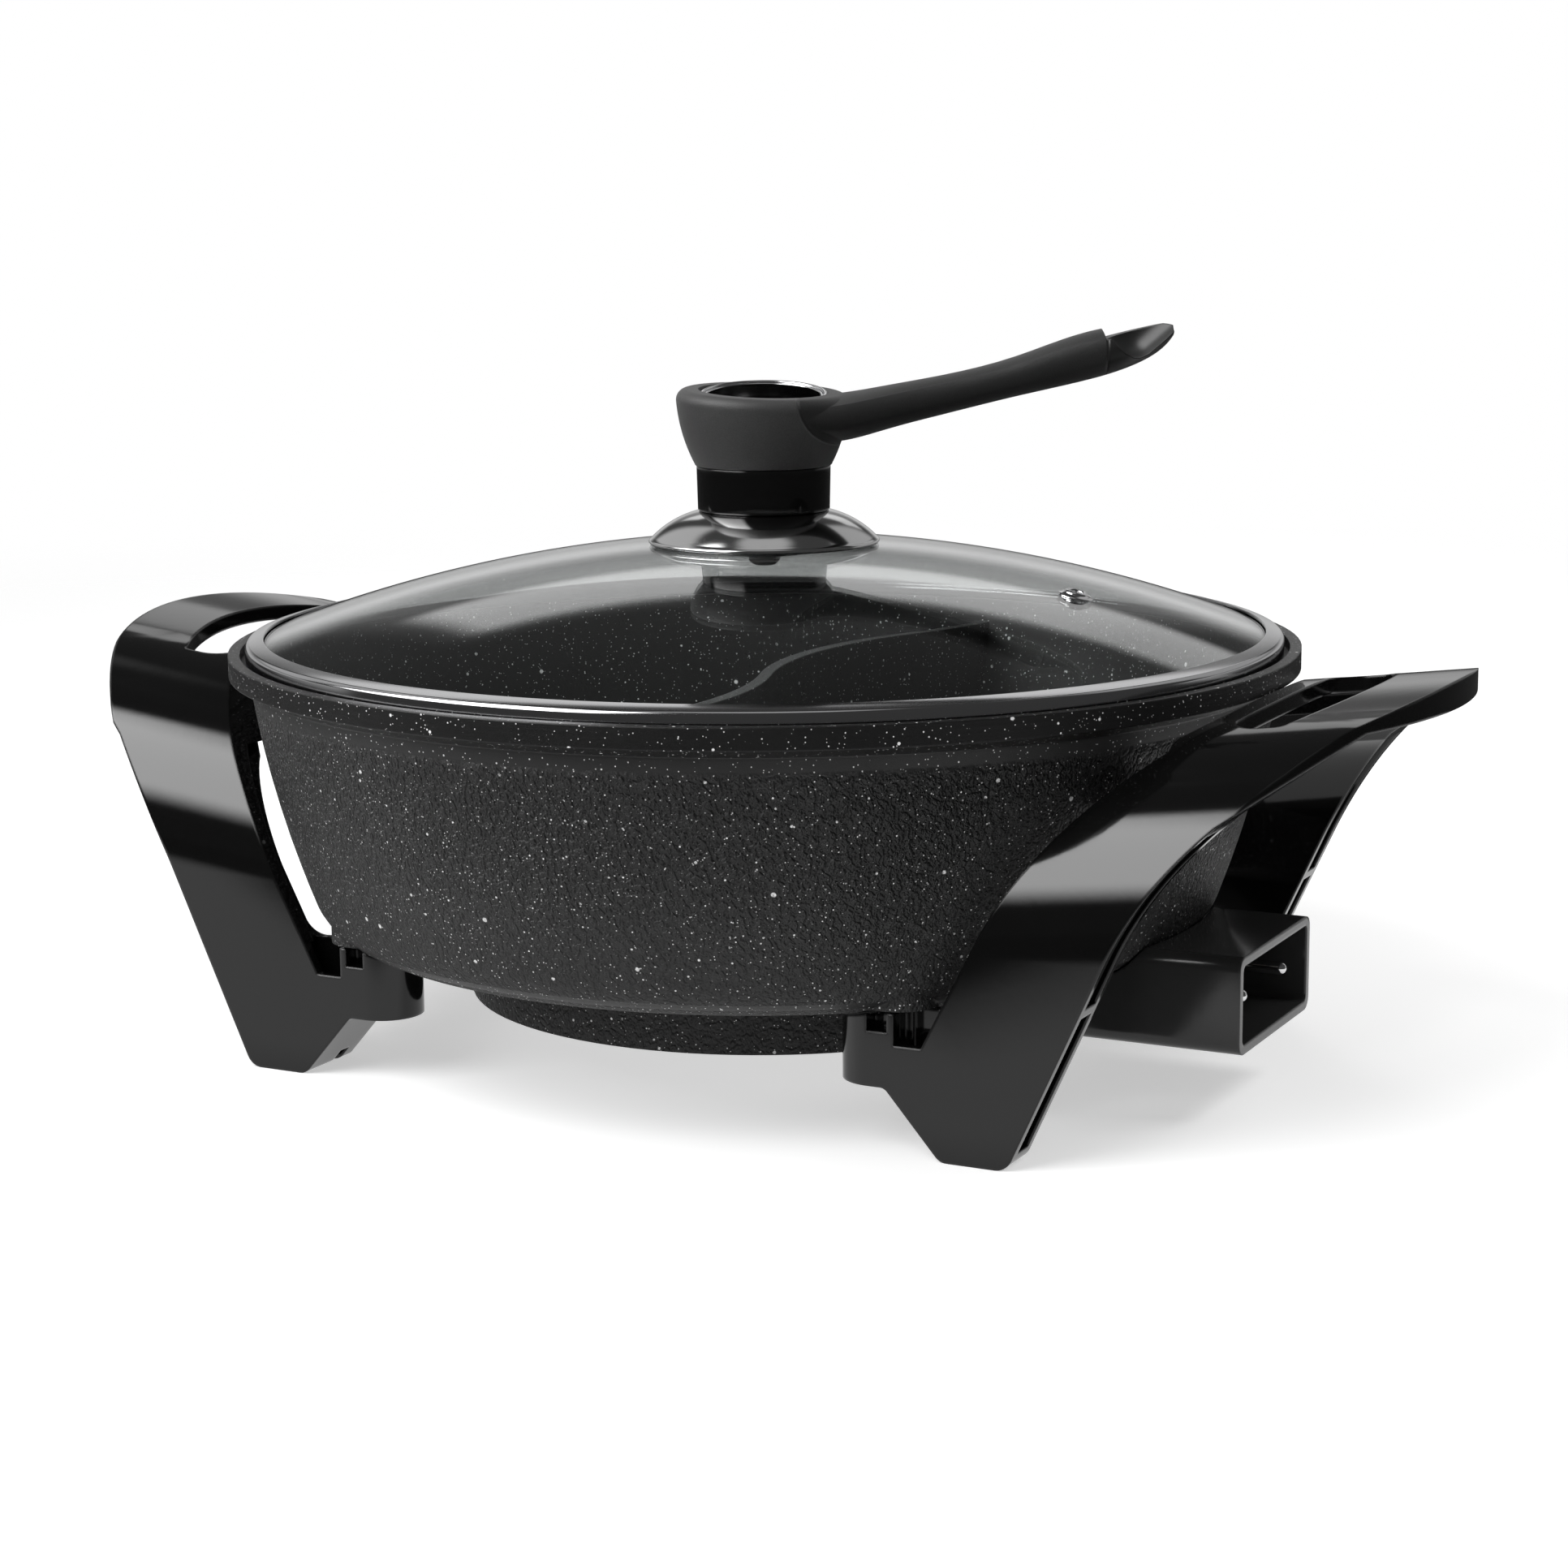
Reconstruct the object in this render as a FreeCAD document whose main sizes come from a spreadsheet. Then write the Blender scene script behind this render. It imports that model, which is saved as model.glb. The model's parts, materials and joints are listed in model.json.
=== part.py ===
import FreeCAD, Part
import Sketcher
import math
import os

# Electric hot pot on two handle-and-leg mouldings, with a glass lid that lifts off.
# Millimetres. +Z is up and Z = 0 is the surface that the feet stand on. The pan's axis is the Z axis,
# the connector socket faces +X, and the two mouldings stand at +X and -X, each with a leg at +Y and at -Y.

DOC = FreeCAD.newDocument("HotPot")
SHEET = DOC.addObject("Spreadsheet::Sheet", "Dims")


# ---------------------------------------------------------------------------------------------------
# Driving dimensions
# ---------------------------------------------------------------------------------------------------

DRIVING = [
    # pan casting
    ("rim_radius", 170.0, "outer radius of the pan's rim"),
    ("rim_top", 130.3, "height of the rim's top face"),
    ("rim_band", 6.5, "height of the plain band round the rim"),
    ("rim_face", 3.6, "width of the rim's top face"),
    ("ledge_drop", 3.5, "depth of the ledge that the lid sits on"),
    ("wall", 4.6, "wall of the pan"),
    ("neck_inset", 6.6, "how far the side steps in under the rim band"),
    ("neck_drop", 3.0, "height of the cove under the rim band"),
    ("side_bulge", 332.0, "radius of the side's slight outward bow"),
    ("knuckle_radius", 146.0, "outer radius where the side meets the bottom corner"),
    ("knuckle_height", 53.0, "height where the side meets the bottom corner"),
    ("corner_bend", 18.6, "outer radius of the bottom corner"),
    ("belly_radius", 133.0, "outer radius where the corner meets the underside"),
    ("belly_height", 40.6, "height where the corner meets the underside"),
    ("drum_radius", 96.0, "outer radius of the heater drum"),
    ("drum_bottom", 18.7, "height of the drum's lower edge"),
    ("drum_top", 32.7, "height where the drum meets the underside"),
    ("drum_wall", 5.0, "wall of the drum"),
    ("drum_ceiling", 38.0, "height of the underside inside the drum"),
    ("floor_height", 45.0, "height of the cooking floor"),
    ("floor_radius", 119.0, "radius of the flat cooking floor"),
    ("inner_bend", 21.0, "inner radius of the bottom corner"),
    ("divider_height", 118.0, "height of the divider's top edge"),
    ("divider_thick", 4.2, "thickness of the divider"),
    ("divider_sway", 11.0, "how far the divider swings to each side"),
    ("divider_half_wave", 117.0, "length of one swing of the divider"),
    # lugs under the pan
    ("lug_x", 91.0, "lug centre, away from the pan's axis along X"),
    ("lug_y", 94.5, "lug centre, away from the pan's axis along Y"),
    ("lug_radius", 12.0, "radius of a lug"),
    ("lug_bottom", 42.4, "height of a lug's lower face"),
    ("seat_x", 86.0, "handle screw, away from the pan's axis along X"),
    ("handle_tap_depth", 4.6, "depth of the tapped hole for a handle screw"),
    # handle-and-leg mouldings
    ("side_y", 106.5, "flat outer face of a leg, from the middle plane"),
    ("leg_thick", 14.0, "thickness of a leg along Y"),
    ("plate_x", 170.0, "where the arch profile is measured"),
    ("plate_slope", 0.13, "rise of the handle plate per length outwards"),
    ("arch_crown", 124.6, "height of the handle plate in the middle"),
    ("crown_half", 60.0, "half width of the gently crowned plate"),
    ("crown_edge", 119.4, "height of the plate where it starts to turn down"),
    ("crown_bend", 350.0, "radius of the plate's crown"),
    ("shoulder_y", 80.0, "where the shoulder meets the main bend"),
    ("shoulder_height", 111.0, "height where the shoulder meets the main bend"),
    ("shoulder_bend", 75.0, "radius of the shoulder"),
    ("haunch_height", 68.0, "height where the side face starts to bend over"),
    ("haunch_bend", 48.0, "radius of the main bend"),
    ("plate_thick", 9.0, "depth of the handle plate at its edge"),
    ("plate_skin", 5.0, "skin of the handle plate inside its edge"),
    ("plate_lip", 3.6, "width of the edge that hangs down round the plate"),
    ("sweep_radius", 133.0, "radius of the moulding's outer edge seen from above"),
    ("sweep_centre", 94.0, "centre of that edge, from the pan's axis"),
    ("slot_inner", 179.5, "radius of the hand slot's inner edge about the pan's axis"),
    ("slot_half", 44.0, "half length of the hand slot's inner edge"),
    ("slot_end", 53.0, "half length of the hand slot"),
    ("slot_sweep", 110.0, "radius of the hand slot's outer edge"),
    ("slot_reach", 202.9, "hand slot's outer edge in the middle, from the pan's axis"),
    ("foot_out", 129.4, "outer end of a foot"),
    ("foot_in", 109.0, "inner end of a foot's sole"),
    ("foot_round", 3.6, "rounding of a foot's outer corner"),
    ("leg_lean", 0.455, "how far a leg leans out per height"),
    ("leg_bend_low", 62.0, "height where the leg's outer edge starts to sweep out"),
    ("leg_bend_high", 101.0, "height where that sweep ends"),
    ("leg_bend_x", 185.0, "outer edge at the top of the sweep, from the pan's axis"),
    ("leg_bend", 131.0, "radius of the sweep"),
    ("inner_low_x", 103.0, "leg's inner edge at the pocket floor"),
    ("inner_mid_x", 119.0, "leg's inner edge where it starts to sweep out"),
    ("inner_mid_height", 64.0, "height where the inner edge starts to sweep out"),
    ("inner_top_x", 161.4, "leg's inner edge under the plate"),
    ("inner_top_height", 116.0, "height where the inner edge ends"),
    ("inner_sweep", 144.0, "radius of the inner edge's sweep"),
    ("bracket_bottom", 19.9, "height of a bracket's lower face"),
    ("bracket_chamfer_x", 91.6, "where the foot's chamfer meets the bracket"),
    ("bracket_thick", 24.0, "thickness of a bracket along Y"),
    ("bracket_reach", 98.0, "outer end of the thick part of a bracket"),
    ("pocket_floor", 32.7, "height of the pocket between bracket and leg"),
    ("pocket_in", 94.4, "inner end of the pocket"),
    ("pocket_deep", 9.0, "depth of the pocket along Y"),
    ("notch_in", 86.0, "inner end of the square notch under a lug"),
    ("notch_out", 92.4, "outer end of the square notch under a lug"),
    ("notch_floor", 36.3, "height of the notch's floor"),
    ("notch_deep", 6.0, "depth of the notch along Y"),
    ("skin", 3.2, "wall left on each side of a leg's channel"),
    ("channel_floor", 10.5, "material left at the inner edge of a leg's channel"),
    ("relief_skin", 5.0, "thickness of a leg's edge beside the pan"),
    ("relief_reach", 6.5, "width of that thinner edge"),
    ("relief_low", 41.0, "height where the thinner edge starts"),
    ("relief_high", 99.0, "height where the thinner edge ends"),
    ("bend_run", 30.0, "how far the leg's outer edge runs on outwards above its sweep"),
    ("channel_low", 5.0, "height where a leg's channel starts"),
    ("channel_high", 98.0, "height where a leg's channel ends"),
    ("web_height", 46.0, "height of the web across a leg's channel"),
    ("web_thick", 3.0, "thickness of that web"),
    ("heel_out", 117.0, "outer end of the thick part of a foot"),
    ("heel_notch_near", 10.5, "sole notch behind a foot's outer wall, from the flat outer face"),
    ("heel_notch_wide", 8.0, "width of that notch"),
    ("heel_notch_deep", 4.5, "depth of that notch"),
    ("sole_corner", 4.5, "rounding between a foot's sole and its chamfer"),
    ("chamfer_corner", 3.0, "rounding between the chamfer and the bracket"),
    # connector housing and what is in it
    ("housing_front", 172.5, "mouth of the connector housing"),
    ("housing_half", 33.0, "half width of the connector housing"),
    ("housing_top", 49.6, "top of the connector housing"),
    ("housing_bottom", 19.8, "bottom of the connector housing"),
    ("housing_wall", 2.8, "wall of the connector housing"),
    ("housing_round", 4.0, "outer rounding of the housing"),
    ("socket_back", 146.5, "back wall of the socket, front face"),
    ("socket_wall", 3.0, "thickness of the socket's back wall"),
    ("pin_half", 18.7, "terminal pin, from the middle plane"),
    ("pin_height", 35.0, "height of the terminal pins"),
    ("pin_radius", 2.1, "radius of a terminal pin where the plug takes it"),
    ("shank_radius", 2.6, "radius of a terminal pin behind and inside its bush"),
    ("pin_tip", 169.8, "tip of the terminal pins"),
    ("post_x", 108.0, "housing screw, from the pan's axis along X"),
    ("post_y", 27.5, "housing screw, from the middle plane"),
    ("post_radius", 4.6, "radius of a housing post"),
    ("post_tap_depth", 5.5, "depth of the tapped hole for a housing screw"),
    ("bush_radius", 4.0, "radius of a ceramic bush"),
    ("bush_flange", 5.6, "radius of a ceramic bush's flange"),
    ("guide_height", 27.6, "height of the sensor guide tube"),
    ("guide_radius", 4.4, "outer radius of the sensor guide tube"),
    ("guide_bore", 3.5, "bore radius of the sensor guide tube"),
    ("guide_front", 151.0, "front end of the sensor guide tube"),
    ("earth_width", 9.0, "width of the earth spring"),
    ("earth_thick", 0.8, "thickness of the earth spring"),
    ("earth_front", 167.0, "front end of the earth spring"),
    # heating element and the drum's cover
    ("element_radius", 78.0, "radius of the heating element's ring"),
    ("element_tube", 3.5, "radius of the heating element's sheath"),
    ("element_height", 28.0, "height of the heating element"),
    ("element_end", 108.0, "end of the heating element's two tails"),
    ("element_turn", 12.0, "radius where the ring turns into a tail"),
    ("boss_half", 7.0, "half width of the ring boss over the element"),
    ("cover_radius", 90.4, "radius of the heat shield"),
    ("cover_bottom", 20.4, "height of the heat shield's lower face"),
    ("cover_thick", 1.0, "thickness of the heat shield"),
    ("pillar_circle", 48.0, "radius on which the shield's pillars stand"),
    ("pillar_radius", 5.0, "radius of a shield pillar"),
    ("cover_tap_depth", 9.0, "depth of the hole for a shield screw, from the shield's lower face"),
    # fasteners
    ("screw_radius", 1.9, "radius of a handle screw's shank"),
    ("screw_head", 4.0, "radius of a handle screw's head"),
    ("head_height", 2.8, "height of a handle screw's head"),
    ("washer_radius", 4.5, "radius of a handle screw's washer"),
    ("washer_thick", 0.8, "thickness of a handle screw's washer"),
    ("counterbore", 4.9, "radius of the hole for a handle screw's head"),
    ("seat_height", 27.4, "height of the seat that a handle screw clamps"),
    ("small_screw", 1.5, "radius of a small screw's shank"),
    ("small_head", 3.0, "radius of a small screw's head"),
    ("small_head_height", 2.0, "height of a small screw's head"),
    # lid
    ("dome_rise", 29.795, "rise of the glass dome over its edge"),
    ("glass", 4.0, "thickness of the glass"),
    ("glass_inset", 2.6, "glass edge, inwards from the outside of the lid's steel band"),
    ("glass_bed", 0.705, "sealing bed between the glass and the steel band"),
    ("lid_side_gap", 1.8, "clearance round the lid in the pan's ledge"),
    ("band_metal", 0.8, "metal of the lid's steel band"),
    ("band_grip", 5.8, "width of the lid's steel band, seen from above"),
    ("band_crown", 1.3, "height of the band above the glass's edge"),
    ("vent_radius", 107.2, "steam vent, from the lid's axis"),
    ("vent_bearing", -1.0, "bearing of the steam vent in degrees"),
    ("vent_flange", 5.4, "radius of the vent's flange"),
    ("vent_tube", 3.1, "outer radius of the vent's tube"),
    ("vent_bore", 2.0, "bore radius of the vent"),
    # knob
    ("skirt_radius", 36.8, "radius of the knob's steel skirt"),
    ("skirt_height", 10.5, "height of the skirt"),
    ("skirt_rise", 9.4, "height of the skirt's top face over the dome"),
    ("skirt_metal", 1.4, "metal of the skirt"),
    ("skirt_bend", 30.0, "radius of the skirt's dome"),
    ("collar_radius", 21.3, "radius of the knob's collar"),
    ("collar_height", 14.2, "height of the knob's collar"),
    ("stem_radius", 7.0, "radius of the collar's stem"),
    ("cup_radius", 27.6, "largest radius of the knob's cup"),
    ("cup_bend", 52.0, "radius of the cup's side"),
    ("cup_foot", 0.6, "width of the small round at the cup's foot"),
    ("lip_height", 23.4, "height of the cup's lip over its foot, on the axis"),
    ("lip_lean", 2.7, "lean of the cup's lip to the near side in degrees"),
    ("lip_fall", 2.2, "fall of the cup's lip towards the arm in degrees"),
    ("lip_round", 3.4, "rounding of the cup's lip"),
    ("mouth_radius", 20.5, "radius of the cup's mouth"),
    ("mouth_height", 23.0, "height of the trim ring's top over the cup's foot, on the axis"),
    ("mouth_lean", 7.7, "lean of the cup's mouth in degrees"),
    ("mouth_depth", 15.0, "depth of the cup's mouth"),
    ("trim_bead", 1.3, "width of the trim ring's outer bead"),
    ("trim_step", 0.9, "width of the trim ring's lower inner bead"),
    ("trim_depth", 5.0, "height of the trim ring"),
    ("well_skin", 1.4, "thickness of the well insert"),
    ("arm_bearing", 26.87, "bearing of the knob's arm in degrees"),
    ("scoop_reach", 116.3, "centre of the scoop's round end, from the lid's axis"),
    ("scoop_side", 5.5, "centre of the scoop, towards the open side"),
    ("scoop_height", 41.4, "centre of the scoop's round end, over the cup's foot"),
    ("scoop_radius", 8.6, "radius of the scoop"),
    ("scoop_slope", 40.0, "rise of the scoop in degrees"),
    ("shoulder_reach", 107.6, "where the arm's top drops to the scoop's rim, from the lid's axis"),
    ("shoulder_rim", 38.8, "height of the scoop's rim there, over the cup's foot"),
    ("rim_slope", 14.0, "rise of the scoop's rim in degrees"),
    ("knob_screw", 2.5, "radius of the knob screw's shank"),
    ("knob_screw_head", 5.0, "radius of the knob screw's head"),
    ("screw_reach", 4.0, "how far the knob's screw goes into the cup"),
    ("screw_gap", 0.5, "room over a screw's end in its blind hole"),
    ("cut_over", 10.0, "how far a cutter runs past what it cuts"),
    ("pad_radius", 11.0, "radius of the silicone pads at the glass"),
    ("pad_thick", 1.5, "thickness of the silicone pads"),
    # clearances
    ("lid_gap", 0.3, "clearance between the lid and the pan"),
    ("pan_gap", 0.5, "clearance between the pan and what is fitted under it"),
    ("slide_gap", 0.1, "radial clearance of a screw or tube in its hole"),
]

# The arm's cross-sections from inside the cup to its tip: the step outwards from the one before,
# the height of the top over the cup's foot, the depth, and the half width.
ARM_SECTIONS = [
    (8.0, 21.0, 9.0, 24.0),
    (10.0, 21.8, 14.3, 21.0),
    (10.0, 22.9, 14.9, 16.0),
    (12.0, 24.9, 13.7, 12.0),
    (17.0, 27.9, 12.4, 9.8),
    (23.0, 33.6, 12.6, 9.8),
    (20.0, 40.4, 15.0, 10.6),
    (18.0, 43.5, 12.5, 10.0),
    (8.0, 43.6, 7.8, 7.0),
    (3.3, 43.0, 3.4, 4.2),
]
ARM_MEASURES = ("step", "top", "depth", "half")


class Size:
    """A number together with the sheet expression that it comes from."""

    def __init__(self, value, text):
        self.value = float(value)
        self.text = text

    def __add__(self, other):
        other = size(other)
        return Size(self.value + other.value, "(%s + %s)" % (self.text, other.text))

    def __sub__(self, other):
        other = size(other)
        return Size(self.value - other.value, "(%s - %s)" % (self.text, other.text))

    def __mul__(self, other):
        other = size(other)
        return Size(self.value * other.value, "(%s * %s)" % (self.text, other.text))

    def __truediv__(self, other):
        other = size(other)
        return Size(self.value / other.value, "(%s / %s)" % (self.text, other.text))

    def __radd__(self, other):
        return size(other) + self

    def __rsub__(self, other):
        return size(other) - self

    def __rmul__(self, other):
        return size(other) * self

    def __neg__(self):
        return Size(-self.value, "(0 - %s)" % self.text)

    def root(self):
        return Size(math.sqrt(self.value), "sqrt(%s)" % self.text)


def size(number):
    """Return a Size, whether a Size or a plain number is given."""
    return number if isinstance(number, Size) else Size(number, repr(float(number)))


class Dims:
    """The driving dimensions by name, each a Size bound to its cell."""


def fill_sheet():
    """Write every driving dimension to the sheet and to Dims."""
    rows = list(DRIVING)
    for number, section in enumerate(ARM_SECTIONS, start=1):
        for measure, value in zip(ARM_MEASURES, section):
            rows.append(("arm_%s_%d" % (measure, number), value, "arm's cross-section %d" % number))
    for row, (alias, value, note) in enumerate(rows, start=1):
        SHEET.set("A%d" % row, note)
        SHEET.set("B%d" % row, repr(value))
        SHEET.setAlias("B%d" % row, alias)
        setattr(Dims, alias, Size(value, "Dims." + alias))
    DOC.recompute()


fill_sheet()
D = Dims


def hypot(one, other):
    """The long side of a right triangle."""
    return (one * one + other * other).root()


def leg_of(hypotenuse, other):
    """The second short side of a right triangle."""
    return (hypotenuse * hypotenuse - other * other).root()


def bow_radius(chord, rise):
    """Radius of an arc that rises by a given amount over its chord."""
    return chord * chord / (8 * rise) + rise / 2


def follow_on():
    """Sizes that follow from the driving ones, where pieces meet, fit or line up."""
    D.neck_radius = D.rim_radius - D.neck_inset
    D.moulding_reach = D.sweep_centre + D.sweep_radius
    D.band_low = D.rim_top - D.ledge_drop + D.lid_gap
    D.band_radius = D.rim_radius - D.rim_face - D.lid_side_gap
    D.band_inner = D.band_radius - D.band_grip
    D.glass_edge = D.band_radius - D.glass_inset
    D.dome_radius = bow_radius(D.glass_edge * 2, D.dome_rise)
    D.dome_top = D.band_low + D.band_metal + D.glass_bed + D.glass + D.dome_rise
    D.skirt_top = D.dome_top + D.skirt_rise
    D.skirt_bottom = D.skirt_top - D.skirt_height
    D.cup_base = D.skirt_top + D.collar_height
    D.knob_screw_top = D.cup_base + D.screw_reach


follow_on()


def soft_corner(before, corner, after, radius, side):
    """The two ends of an arc that rounds one corner of an outline."""
    come_x, come_y = corner[0] - before[0], corner[1] - before[1]
    leave_x, leave_y = after[0] - corner[0], after[1] - corner[1]
    come = hypot(come_x, come_y)
    leave = hypot(leave_x, leave_y)
    apart = hypot(come_x / come - leave_x / leave, come_y / come - leave_y / leave)
    along = hypot(come_x / come + leave_x / leave, come_y / come + leave_y / leave)
    reach = radius * apart / along
    return [(corner[0] - come_x / come * reach, corner[1] - come_y / come * reach),
            (corner[0] + leave_x / leave * reach, corner[1] + leave_y / leave * reach, radius, side)]


# ---------------------------------------------------------------------------------------------------
# Sketches, bodies and primitives
# ---------------------------------------------------------------------------------------------------

def bind(thing, name, amount):
    """Set a property from a Size and keep it bound to the sheet."""
    amount = size(amount)
    thing.setExpression(name, amount.text)


def place(thing, x=0, y=0, z=0):
    """Bind the three coordinates of an object's place."""
    bind(thing, "Placement.Base.x", x)
    bind(thing, "Placement.Base.y", y)
    bind(thing, "Placement.Base.z", z)
    return thing


def arc_between(first, last, radius, side):
    """Arc from first to last that bulges to the left (side 1) or to the right (side -1) of the way."""
    chord = last - first
    half = chord.Length / 2.0
    rise = radius - math.sqrt(max(radius * radius - half * half, 0.0))
    left = FreeCAD.Vector(-chord.y, chord.x, 0).normalize()
    middle = (first + last) * 0.5 + left * (side * rise)
    return Part.Arc(first, middle, last)


def constrain(sketch, kind, amount, *where):
    """Add a constraint, with its amount bound to the sheet where it has one."""
    if amount is None:
        sketch.addConstraint(Sketcher.Constraint(kind, *where))
        return
    index = sketch.addConstraint(Sketcher.Constraint(kind, *where, amount.value))
    sketch.setExpression("Constraints[%d]" % index, amount.text)


def draw_outline(sketch, corners):
    """Draw a closed outline. A corner is (x, y), or (x, y, radius, side) where an arc arrives at it."""
    corners = [tuple(size(part) if number < 3 else part for number, part in enumerate(corner))
               for corner in corners]
    points = [FreeCAD.Vector(corner[0].value, corner[1].value, 0) for corner in corners]
    count = len(corners)
    first = sketch.GeometryCount
    ends = []
    for index in range(count):
        arrival = corners[(index + 1) % count]
        start = points[index]
        stop = points[(index + 1) % count]
        if len(arrival) == 4:
            sketch.addGeometry(arc_between(start, stop, arrival[2].value, arrival[3]), False)
            ends.append((2, 1) if arrival[3] > 0 else (1, 2))
        else:
            sketch.addGeometry(Part.LineSegment(start, stop), False)
            ends.append((1, 2))
    for index in range(count):
        after = (index + 1) % count
        leaving, arriving = ends[index][1], ends[after][0]
        constrain(sketch, "Coincident", None, first + index, leaving, first + after, arriving)
    for index in range(count):
        geometry = first + index
        pin_point(sketch, geometry, ends[index][0], corners[index])
        arrival = corners[(index + 1) % count]
        if len(arrival) == 4:
            constrain(sketch, "Radius", arrival[2], geometry)


def pin_point(sketch, geometry, end, corner):
    """Fix one end of a line or arc at its coordinates."""
    for kind, amount, axis in (("DistanceX", corner[0], -2), ("DistanceY", corner[1], -1)):
        if amount.text == "0.0":
            constrain(sketch, "PointOnObject", None, geometry, end, axis)
        else:
            constrain(sketch, kind, amount, geometry, end)


def draw_circle(sketch, x, y, radius):
    """Draw a circle with its centre and radius bound."""
    x, y, radius = size(x), size(y), size(radius)
    centre = FreeCAD.Vector(x.value, y.value, 0)
    geometry = sketch.addGeometry(Part.Circle(centre, FreeCAD.Vector(0, 0, 1), radius.value), False)
    constrain(sketch, "Radius", radius, geometry)
    pin_point(sketch, geometry, 3, (x, y))


def new_body(label):
    return DOC.addObject("PartDesign::Body", label)


def new_sketch(body, plane, name, offset=None):
    """A sketch on one of the body's own origin planes, moved along the plane's normal by offset."""
    sketch = body.newObject("Sketcher::SketchObject", name)
    support = [feature for feature in body.Origin.OriginFeatures if feature.Role == plane][0]
    sketch.AttachmentSupport = [(support, "")]
    sketch.MapMode = "FlatFace"
    if offset is not None:
        bind(sketch, "AttachmentOffset.Base.z", offset)
    return sketch


def turned(body, name, corners):
    """Add a solid of revolution about Z from an outline in radius and height."""
    sketch = new_sketch(body, "XZ_Plane", name + "_section")
    draw_outline(sketch, corners)
    feature = body.newObject("PartDesign::Revolution", name)
    feature.Profile = sketch
    feature.ReferenceAxis = (sketch, ["V_Axis"])
    feature.Angle = 360.0
    return feature


def padded(body, name, sketch, length, both_ways=False):
    """Add a prism on a sketch."""
    feature = body.newObject("PartDesign::Pad", name)
    feature.Profile = sketch
    feature.Midplane = both_ways
    bind(feature, "Length", length)
    return feature


def turned_piece(label, corners):
    """A node that is one solid of revolution."""
    body = new_body(label)
    turned(body, label + "_turned", corners)
    return body


def cylinder(label, radius, height, x=0, y=0, z=0):
    """A round bar that stands on the given point."""
    bar = DOC.addObject("Part::Cylinder", label)
    bind(bar, "Radius", radius)
    bind(bar, "Height", height)
    return place(bar, x, y, z)


def cylinder_along_x(label, radius, height, x, y, z):
    """A round bar that runs from the given point towards +X."""
    bar = cylinder(label, radius, height, x, y, z)
    bar.Placement.Rotation = FreeCAD.Rotation(FreeCAD.Vector(0, 1, 0), 90)
    return place(bar, x, y, z)


def block(label, x, y, z, long, wide, high):
    """A box with one corner at x, y, z."""
    box = DOC.addObject("Part::Box", label)
    bind(box, "Length", long)
    bind(box, "Width", wide)
    bind(box, "Height", high)
    return place(box, x, y, z)


def prism(label, plane, corners, start, length):
    """A prism on an outline: plane XY rises along Z, XZ runs along Y and YZ runs along X."""
    body = new_body(label)
    names = {"XY": "XY_Plane", "XZ": "XZ_Plane", "YZ": "YZ_Plane"}
    start = -size(start) - size(length) if plane == "XZ" else size(start)
    sketch = new_sketch(body, names[plane], label + "_outline", start)
    draw_outline(sketch, corners)
    padded(body, label + "_pad", sketch, length)
    return body


def joined(label, pieces):
    """Fuse pieces to one solid."""
    fusion = DOC.addObject("Part::MultiFuse", label)
    fusion.Shapes = pieces
    fusion.Refine = True
    return fusion


def group(label, pieces):
    """Keep pieces together in one node as separate solids."""
    compound = DOC.addObject("Part::Compound", label)
    compound.Links = pieces
    return compound


def less(label, base, tools):
    """Cut tools from base, one after the other."""
    result = base
    for number, tool in enumerate(tools, start=1):
        cut = DOC.addObject("Part::Cut", label if number == len(tools) else "%s_cut%d" % (label, number))
        cut.Base = result
        cut.Tool = tool
        result = cut
    return result


def shared(label, one, other):
    """Keep what two pieces have in common."""
    common = DOC.addObject("Part::Common", label)
    common.Base = one
    common.Tool = other
    return common


def mirrored(label, source, across_x):
    """The mirror image of a piece across the plane X = 0 or Y = 0."""
    image = DOC.addObject("Part::Mirroring", label)
    image.Source = source
    image.Normal = FreeCAD.Vector(1, 0, 0) if across_x else FreeCAD.Vector(0, 1, 0)
    return image


# ---------------------------------------------------------------------------------------------------
# Pan
# ---------------------------------------------------------------------------------------------------

def pan_outside(gap):
    """Outside of the pan from the drum to the rim, moved outwards by gap."""
    band_bottom = D.rim_top - D.rim_band
    return [
        (D.drum_radius + gap, D.drum_bottom - gap),
        (D.drum_radius + gap, D.drum_top - gap),
        (D.belly_radius + gap * 0.3, D.belly_height - gap),
        (D.knuckle_radius + gap, D.knuckle_height - gap * 0.4, D.corner_bend + gap, -1),
        (D.neck_radius + gap, band_bottom - D.neck_drop, D.side_bulge + gap, -1),
        (D.rim_radius + gap, band_bottom - gap),
        (D.rim_radius + gap, D.rim_top + gap),
    ]


def pan_inside():
    """Inside of the pan from the rim's top face to the middle of the floor."""
    ledge = D.rim_top - D.ledge_drop
    return [
        (D.rim_radius - D.rim_face, D.rim_top),
        (D.rim_radius - D.rim_face, ledge),
        (D.neck_radius - D.wall, ledge),
        (D.neck_radius - D.wall, D.rim_top - D.rim_band - D.neck_drop),
        (D.knuckle_radius - D.wall, D.knuckle_height + D.wall * 1.5, D.side_bulge, 1),
        (D.floor_radius, D.floor_height, D.inner_bend, 1),
        (0, D.floor_height),
    ]


def drum_inside():
    """Inside of the drum from the middle to its lower edge, with the boss that the element lies in."""
    inner = D.drum_radius - D.drum_wall
    return [
        (0, D.drum_ceiling),
        (D.element_radius - D.boss_half, D.drum_ceiling),
        (D.element_radius - D.boss_half, D.element_height),
        (D.element_radius + D.boss_half, D.element_height),
        (D.element_radius + D.boss_half, D.drum_ceiling),
        (inner, D.drum_ceiling),
        (inner, D.drum_bottom),
    ]


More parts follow.
